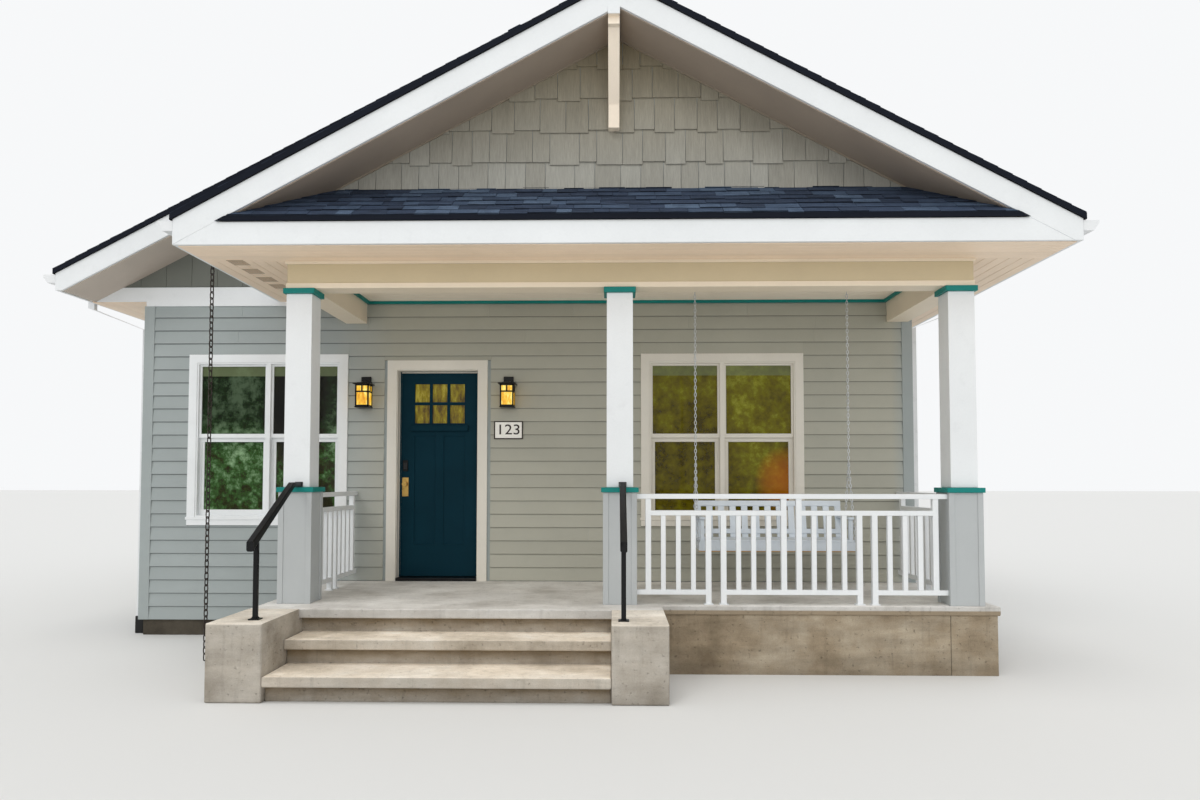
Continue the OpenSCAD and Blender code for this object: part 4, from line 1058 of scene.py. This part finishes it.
# Copies of CAD nodes with rounded edges: the node, the rounding, its segments and its look
EASED = (
    ("porch_floor", 0.014, 3, "porch_slab"),
    ("porch_steps", 0.014, 3, "steps"),
    ("step_cheeks", 0.016, 3, ""),
    ("porch_foundation", 0.006, 2, "stem_wall"),
    ("foundation_wall", 0.006, 2, "footing"),
    ("corner_boards", 0.003, 2, ""),
    ("column_shafts", 0.006, 3, ""),
    ("column_pedestals", 0.004, 2, ""),
    ("column_ledges", 0.01, 3, ""),
    ("ceiling_moulding", 0.006, 2, ""),
    ("front_railing", 0.003, 2, ""),
    ("side_railings", 0.003, 2, ""),
    ("downspouts", 0.006, 2, ""),
    ("downspout_boots", 0.006, 2, ""),
)

# Where only edges longer than a length are rounded, that length comes after the rounding
EASED_LONG = (
    ("main_barge_boards", 0.004, 0.05, 2, ""),
    ("porch_barge_boards", 0.004, 0.05, 2, ""),
    ("porch_fascia", 0.004, 0.05, 2, ""),
    ("eave_fascias", 0.004, 0.05, 2, ""),
    ("frieze_boards", 0.004, 0.05, 2, ""),
    ("handrails", 0.009, 0.12, 3, ""),
    ("door_threshold", 0.006, 0.05, 2, ""),
    ("gable_bracket", 0.006, 0.05, 2, "bracket"),
    ("swing_hooks", 0.0015, 0.02, 2, ""),
    ("front_door", 0.004, 0.1, 2, ""),
    ("front_windows", 0.003, 0.02, 2, "casing"),
    ("side_windows", 0.003, 0.02, 2, "casing"),
    ("rear_windows", 0.003, 0.02, 2, "casing"),
    ("door_frame", 0.003, 0.02, 2, "casing"),
)


def ease_the_rest():
    for name, width, segments, look in EASED:
        stand_in(smoothed(rounded(plan(name), width, segments)), name, look)
    for name, width, shortest, segments, look in EASED_LONG:
        piece = plan(name)
        if name == "porch_barge_boards":
            open_joint(piece)
        stand_in(rounded_long(piece, width, shortest, segments), name, look)


def open_joint(boards):
    """Take out the faces between the two boards that meet at the porch's ridge."""
    near = 0.0001
    with edit_mode(boards, "FACE", lambda f: abs(f.center.x - PORCH_RIDGE) < near and abs(f.normal.x) > 0.9):
        bpy.ops.mesh.delete(type="FACE")


def cap_bracket():
    """The white block over the barge boards' joint, and the neck between it and the bracket."""
    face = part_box("porch_barge_boards")[0].y - FACE
    low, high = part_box("gable_bracket")
    foot = 5.912
    cap = bar((low.x - 0.002, face - 0.016, foot), (high.x + 0.002, face, 5.985), 0.004, name="bracket_cap")
    fitted(smoothed(cap), "trim")
    neck = bar((low.x, face - 0.012, high.z - 0.03), (high.x, face + 0.05, foot), 0.004, name="bracket_neck")
    fitted(smoothed(neck), "trim", "bracket")


# Looks, and the shades that several of them share
SIDING = (157, 165, 165)
WHITE = (230, 233, 235)
EVEN = (6, 6, 6)
UPRIGHT = (30, 30, 3)


def painted(name, shade, spread=0.05, roughness=0.5, grain=(8, 8, 8), depth=0.0004, tone=0.0, dirt=0.0,
            gloss=0.5, painted_under_shade=0.0, porch=None):
    """Paint over a grained board: clouding, fine grain, the board's own tone and some dirt, with painted
    shade under each lap and on faces that point down, and warmer painted light under the porch.
    """
    look = Finish(name, shade, roughness, Specular_IOR_Level=gloss)
    fine = look.noise(9.0, 5.0, 0.65, grain)
    spans = [
        (look.noise(1.7, 4.0, 0.6), 0.3, 0.7, 1 - spread, 1 + spread),
        (fine, 0.3, 0.7, 1 - spread * 0.6, 1 + spread * 0.6),
    ]
    if tone:
        spans.append((look.attribute("tone"), 0, 1, 1 - tone, 1 + tone))
    fade = 1.0
    # Painted light: under the porch roof the paint turns to the warmer porch shade, and the painted lap
    # shade there is half as strong
    if porch:
        x, y = look.axis("X"), look.axis("Y")
        inside = look.product((x, -2.2, -1.5), (x, 4.2, 4.4, 1, 0), (y, FACE + 0.2, FACE + 0.3, 1, 0))
        shade = look.mix(inside, shade, porch)
        fade = 1 - inside * 0.5
    # Painted shade: the top of each board, under the next one's butt, and faces that point down are darker
    if painted_under_shade:
        spans.append((look.attribute("lap") * fade, 0, 1, 1, 1 - painted_under_shade))
        spans.append((look.facing("Z"), -0.8, -0.3, 1 - painted_under_shade, 1))
    if dirt:
        spans.append((look.noise(5.5, 6.0, 0.7), 0.56, 0.78, 1, 1 - dirt))
    look.paint(shade, *spans)
    look.set("Roughness", look.span(fine, 0.3, 0.7, roughness - 0.07, roughness + 0.09))
    look.bump(fine, depth)
    return look


def concrete(name, shade, dark, light, rough=1.0, top=1.24, riser=0.0, seam=None, lip=None):
    """Cast concrete: cloudy, streaked and pitted and damp at its foot, with painted light that makes its
    tops paler, and painted shade that darkens its sides and, on steps, its risers.
    """
    look = Finish(name, shade, 0.85, Specular_IOR_Level=0.3)
    cloud = look.noise(1.4, 6.0, 0.62)
    boards = look.noise(3.2, 6.0, 0.66, (0.45, 1.0, 2.6))
    speck = look.noise(120, 3.0, 0.75)
    damp = look.axis("Z") + look.noise(2.2) * 0.35
    run = look.noise(3.0, 5.0, 0.6, (5, 5, 0.35))
    pits = look.noise(34, 2.0, 0.5)
    x, z, up = look.axis("X"), look.axis("Z"), look.facing("Z")
    spans = [
        (speck, 0.3, 0.7, 1 - 0.1 * rough, 1 + 0.08 * rough),
        (boards, 0.34, 0.66, 1 - 0.13 * rough, 1 + 0.1 * rough),
        (damp, 0.16, 0.42, 0.76, 1),
        (run, 0.56, 0.75, 1, 0.82),
        (pits, 0.66, 0.72, 1, 1 - 0.22 * rough),
        # Painted light and shade: tops paler, sides darker
        (up, 0.5, 0.95, 0.88, top),
    ]
    paint = look.ramp(cloud, [(0.34, dark), (0.5, shade), (0.68, light)])
    # On steps, painted shade darkens each riser under its nosing, which also carries an olive stain, and
    # painted light makes the treads paler still
    if riser:
        height = look.node("ShaderNodeMath", {"operation": "FRACT"}, {0: z * (1 / riser)})
        under = look.product((height, 0.57, 0.6, 1, 0), (look.facing("Y"), -0.9, -0.6, 1, 0))
        stain = look.span(height + look.noise(5.0, 5.0, 0.6, (1, 1, 3)) * 0.5, 0.3, 0.85, 0, 0.8)
        paint = look.mix(under * stain, paint, (146, 120, 76))
        spans += [(under, 0, 1, 1, 0.75), (up, 0.5, 0.95, 0.85, 1.13)]
    if lip:
        low = look.product((z, FLOOR - 0.046, FLOOR - 0.036, 1, 0), (up, 0.4, 0.7, 1, 0))
        paint = look.mix(low * (x > 1.482), paint, lip)
    if seam:
        spans.append(((x > seam) * (x < seam + 0.009), 0, 1, 1, 0.45))
    look.paint(paint, *spans)
    look.set("Roughness", look.span(cloud, 0.3, 0.7, 0.76, 0.93))
    look.bump(speck * 0.5 + boards * 1.5 - look.span(pits, 0.64, 0.72), 0.004)
    return look


def shingle_stone(name, shades, streaks=0.0):
    """Mineral granules in dark blues, each tab in a shade of its own, with painted shade on the butts, whose
    faces point down.
    """
    look = Finish(name, shades[1], 0.88, Specular_IOR_Level=0.2)
    grains = look.noise(330, 2.0, 0.8)
    tabs = look.attribute("tone") * 0.75 + look.noise(6.0, 4.0, 0.6) * 0.3
    # Painted shade: faces that point down, the tabs' butts, are much darker
    spans = [(grains, 0.35, 0.7, 0.62, 1.5), (look.facing("Z"), -0.4, -0.1, 0.3, 1)]
    if streaks:
        spans.append((look.noise(7.0, 5.0, 0.7, (0.7, 14, 14)), 0.36, 0.64, 1 - streaks, 1 + streaks * 1.6))
    look.paint(look.ramp(tabs, list(zip((0.0, 0.5, 0.8, 1.0), shades))), *spans)
    look.bump(grains, 0.0016)
    return look


def shake_wood():
    """Painted shakes, a little browner towards the peak: painted shade under the roof's overhang."""
    shade = (158, 156, 147)
    look = Finish("shake_wood", shade, 0.72)
    own = look.ramp(look.attribute("tone"), [(0.0, (150, 148, 139)), (0.5, shade), (1.0, (165, 164, 156))])
    grain = look.noise(5.0, 6.0, 0.7, (26, 26, 0.9))
    coarse = look.noise(2.0, 3.0, 0.6, (9, 9, 0.8))
    # Painted shade: browner from 4.7 m up to the peak
    paint = look.mix(look.span(look.axis("Z"), 4.7, 5.9), own, (136, 126, 102))
    look.paint(paint, (grain, 0.3, 0.7, 0.8, 1.14), (coarse, 0.3, 0.7, 0.94, 1.05))
    look.set("Roughness", look.span(grain, 0.3, 0.7, 0.64, 0.82))
    look.bump(grain + coarse * 0.5, 0.0035)
    return look


def mottled_glass():
    """Glossy glass with painted reflections of leaves: green, darker near the top, but amber in the window
    beside the swing, where a painted lamp glow lies on it.
    """
    look = Finish("pane_glass", (36, 36, 11), 0.05, Specular_IOR_Level=0.12)
    # Painted reflections of leaves, from blurred noise
    blur = look.noise(1.1, 2.0, 0.5, (1, 1, 0.5)) * 0.55 + look.noise(8.0, 8.0, 0.72) * 0.45
    x, z = look.axis("X"), look.axis("Z")
    cool = ((20, 20, 11), (36, 36, 11), (48, 80, 38), (134, 164, 126))
    warm = ((70, 60, 2), (99, 90, 6), (118, 113, 12), (154, 158, 48))
    green, amber = (look.ramp(blur, list(zip((0.4, 0.48, 0.54, 0.62), shades))) for shades in (cool, warm))
    beside = (x > 1.2) * (x < 3.4) * (look.axis("Y") < FACE + 0.3)
    # A painted lamp glow in the window beside the swing
    across, up = x - 2.98, z - 1.78
    lamp = look.span(across * across + up * up * 0.7, 0.0, 0.11, 0.6, 0.0) * beside
    # Painted reflection of the dark overhang: the green is lighter low on the pane and much darker near its
    # top
    green = look.shaded(green, (z, 2.05, 2.5, 1.2, 0.28))
    paint = look.mix(lamp, look.mix(beside, green, amber), (206, 112, 2))
    drawn = look.span(z, 2.99, 2.996, 0.0, 0.62)
    look.set("Base Color", look.mix(drawn, paint, (120, 132, 96)))
    look.set("Alpha", look.span(blur, 0.4, 0.6, 0.86, 0.96))
    look.set("Roughness", look.span(look.noise(7.0), 0.3, 0.7, 0.03, 0.09))
    return look


def amber_glass():
    look = Finish("amber_glass", (120, 84, 12), 0.25)
    streak = look.noise(30, 4.0, 0.6, (1, 1, 0.4))
    stops = [(0.34, (212, 136, 11)), (0.5, (247, 192, 38)), (0.66, (255, 240, 130))]
    look.set("Emission Color", look.ramp(streak, stops))
    look.set("Emission Strength", 0.95)
    look.bump(streak, 0.001)
    return look


def door_panes():
    """Leaded panes in amber and green, with a faint painted glow in the same shades."""
    look = Finish("window_glass", (120, 104, 12), 0.1, Specular_IOR_Level=0.2)
    blur = look.noise(9.0, 7.0, 0.68, (1.6, 1, 0.5))
    stops = [(0.38, (84, 66, 2)), (0.48, (122, 104, 6)), (0.56, (140, 126, 10)), (0.66, (176, 160, 50))]
    # Painted light: the panes glow faintly in the same shades
    for socket in ("Base Color", "Emission Color"):
        look.set(socket, look.ramp(blur, stops))
    look.set("Emission Strength", 0.12)
    look.bump(blur, 0.002)
    return look


def metal(name, shade, metallic, roughness, spread=0.12, grain=38.0, depth=0.0003, gloss=0.5):
    look = Finish(name, shade, roughness, metallic, Specular_IOR_Level=gloss)
    fine = look.noise(grain, 5.0, 0.65)
    cloud = look.noise(4.0, 4.0, 0.6)
    look.paint(shade, *((clouding, 0.3, 0.7, 1 - spread, 1 + spread) for clouding in (fine, cloud)))
    look.set("Roughness", look.span(cloud, 0.3, 0.7, max(0.05, roughness - 0.1), roughness + 0.12))
    look.bump(fine, depth)
    return look


def glazed_tile():
    look = Finish("plaque", (248, 245, 237), 0.18, Coat_Weight=0.6)
    craze = look.noise(60, 4.0, 0.6)
    look.paint((248, 245, 237), (craze, 0.3, 0.7, 0.94, 1.03))
    look.bump(craze, 0.0004)
    return look


def oak_boards():
    look = Finish("floor_wood", (142, 104, 68), 0.45)
    grain = look.noise(3.0, 6.0, 0.65, (22, 1.4, 22))
    oak = look.ramp(grain, [(0.3, (108, 74, 46)), (0.52, (142, 104, 68)), (0.72, (172, 134, 92))])
    joint = look.node("ShaderNodeTexWave", {"wave_type": "BANDS", "bands_direction": "X"},
                      {"Vector": look.place, "Scale": 2.2, "Distortion": 0.0}, "Fac")
    look.paint(oak, (joint, 0.0, 0.04, 0.45, 1))
    look.bump(grain, 0.0008)
    return look


def make_looks():
    made = [
        # Much paler tops: painted light
        concrete("concrete", (186, 178, 166), (150, 141, 127), (210, 204, 194), top=1.55),
        concrete("porch_slab", (206, 203, 198), (182, 178, 171), (224, 222, 218), 0.6, lip=(158, 143, 121)),
        concrete("stem_wall", (160, 144, 121), (124, 109, 88), (190, 178, 158), 1.4, seam=4.11),
        # Painted shade on the risers, painted light on the treads
        concrete("steps", (212, 201, 185), (178, 166, 148), (234, 227, 215), riser=0.21),
        # Very dark: painted shade at the foot of the house
        concrete("footing", (86, 79, 68), (66, 60, 51), (108, 101, 89)),
        oak_boards(),
        painted("siding", SIDING, 0.04, 0.6, (2, 2, 60), 0.0006),
        # Painted shade under the laps, and warmer painted light under the porch
        painted("lap_siding", SIDING, 0.035, 0.58, (2, 2, 46), 0.0012, 0.035, 0.04, painted_under_shade=0.55,
                porch=(175, 174, 161)),
        # Darker than the lap siding's paint: painted shade on the gables
        painted("upright_siding", (110, 113, 106), 0.04, 0.6, (36, 36, 2), 0.001, 0.03),
        shake_wood(),
        painted("trim", WHITE, 0.025, 0.42, EVEN, 0.0003, 0.0, 0.07),
        # Warmer painted light under the porch
        painted("casing", WHITE, 0.04, 0.42, UPRIGHT, 0.0003, 0.0, 0.05, porch=(225, 220, 209)),
        painted("bracket", (250, 236, 217), 0.05, 0.5, (20, 20, 3), 0.0006),
        painted("strip", (236, 222, 200), 0.03, 0.5, EVEN, 0.0003),
        painted("moulding", (146, 134, 118), 0.04),
        painted("teal_trim", (0, 126, 120), 0.06, 0.45, (9, 9, 9), 0.0003, 0.0, 0.1, 0.25),
        painted("beam_siding", (205, 190, 157), 0.04, 0.55, (3, 3, 30)),
        painted("pedestal_siding", (178, 182, 183), 0.035, 0.55, (3, 3, 30)),
        painted("soffit", (244, 222, 198), 0.04, 0.55, (6, 6, 12), 0.0004, 0.035, 0.05),
        # Darker than the level soffits: painted shade under the rakes
        painted("main_rake", (196, 184, 172), 0.05, 0.55, (6, 6, 12), 0.0004, 0.0, 0.05),
        painted("rake_soffit", (160, 146, 132), 0.06, 0.6, (12, 6, 12), 0.0004, 0.03, 0.05),
        painted("ceiling", (250, 238, 220), 0.03, 0.5, (3, 26, 26), 0.0004, 0.02),
        # Painted shade on the louvres' faces that point down
        painted("vent", (176, 160, 140), 0.08, 0.6, painted_under_shade=0.3),
        painted("door_paint", (0, 47, 60), 0.09, 0.45, UPRIGHT, 0.0005, gloss=0.05),
        painted("blind", (206, 204, 188), 0.04, 0.6, (2, 2, 30), 0.0003),
        painted("swing_paint", (214, 222, 230), 0.04, 0.45, (3, 30, 30), 0.0004, 0.03, 0.08),
        painted("bare_wood", (196, 160, 116), 0.12, 0.6, (3, 30, 30), 0.0008),
        shingle_stone("shingles", ((14, 18, 28), (24, 30, 43), (38, 46, 61), (58, 67, 84))),
        # Lighter shades than the roof's shingles: painted light on the skirt roof
        shingle_stone("skirt", ((39, 48, 64), (52, 64, 84), (67, 82, 103), (90, 107, 129)), 0.45),
        metal("gutter_metal", (228, 230, 232), 0.0, 0.32, 0.025, 9.0, 0.0002),
        metal("black_plastic", (20, 20, 21), 0.0, 0.42, 0.12, 60, 0.0004, 0.3),
        metal("black_metal", (13, 14, 16), 0.0, 0.36, 0.15, 90, 0.0004, 0.22),
        metal("keys", (34, 35, 38), 0.0, 0.4),
        metal("lock_metal", (196, 160, 92), 1.0, 0.26, 0.08, 50, 0.0002),
        metal("dark_copper", (50, 41, 36), 0.4, 0.45, 0.22, 45, 0.0005, 0.4),
        metal("chain_metal", (206, 209, 212), 0.3, 0.36, 0.1, 60),
        door_panes(),
        mottled_glass(),
        amber_glass(),
        glazed_tile(),
    ]
    return {look.name: look.material for look in made}


# Light, background and floor
def set_light():
    scene = bpy.context.scene
    scene.view_settings.view_transform = "Standard"
    scene.world = bpy.data.worlds.new("studio")
    scene.world.use_nodes = True
    tree = scene.world.node_tree
    sky = tree.nodes["Background"]
    sky.inputs["Color"].default_value = (0.97, 0.985, 1.0, 1)
    sky.inputs["Strength"].default_value = 0.78
    seen = tree.nodes.new("ShaderNodeBackground")
    seen.inputs["Color"].default_value = (0.93, 0.94, 0.95, 1)
    path = tree.nodes.new("ShaderNodeLightPath")
    either = tree.nodes.new("ShaderNodeMath")
    either.operation = "MAXIMUM"
    blend = tree.nodes.new("ShaderNodeMixShader")
    for source, target in (
        (path.outputs["Is Camera Ray"], either.inputs[0]),
        (path.outputs["Is Transmission Ray"], either.inputs[1]),
        (either.outputs[0], blend.inputs[0]),
        (sky.outputs[0], blend.inputs[1]),
        (seen.outputs[0], blend.inputs[2]),
        (blend.outputs[0], tree.nodes["World Output"].inputs["Surface"]),
    ):
        tree.links.new(source, target)
    add_sun("key", 0.5, 20, (1.0, 0.98, 0.94), (52, 0, -28))
    add_sun("fill", 0.62, 60, (1.0, 0.97, 0.9), (86, 0, 8))
    add_sun("overhead", 0.7, 30, (1.0, 0.98, 0.95), (8, 0, -20))


def add_sun(name, energy, spread, tone, turn):
    """A sun lamp, with its spread and turn in degrees."""
    lamp = bpy.data.lights.new(name, "SUN")
    lamp.energy = energy
    lamp.angle = math.radians(spread)
    lamp.color = tone
    holder = bpy.data.objects.new(name, lamp)
    holder.rotation_euler = [math.radians(part) for part in turn]
    bpy.context.scene.collection.objects.link(holder)


def lay_floor():
    deselect()
    bpy.ops.mesh.primitive_plane_add(size=300)
    floor = bpy.context.object
    floor.name = "floor"
    shade = (223.29, 223.29, 221.95)
    floor.data.materials.append(Finish("pale_floor", shade, 0.9).material)


set_camera()
set_light()
lay_floor()
looks = make_looks()
for node_name, slot in SLOT_OF.items():
    nodes[node_name].data.materials.clear()
    nodes[node_name].data.materials.append(looks[slot])
nodes["window_glass"].data.materials[0] = looks["pane_glass"]

lay_siding()
gable_boards()
lay_shakes()
lay_gable_moulding()
lay_roofs()
lay_soffits()
lay_vents()
beam_boards()
pedestal_trims()
build_door()
build_lockset()
window_details()
build_lanterns()
build_plaque()
hang_rain_chain()
hang_swing_chains()
build_swing()
ease_the_rest()
cap_bracket()

deselect()
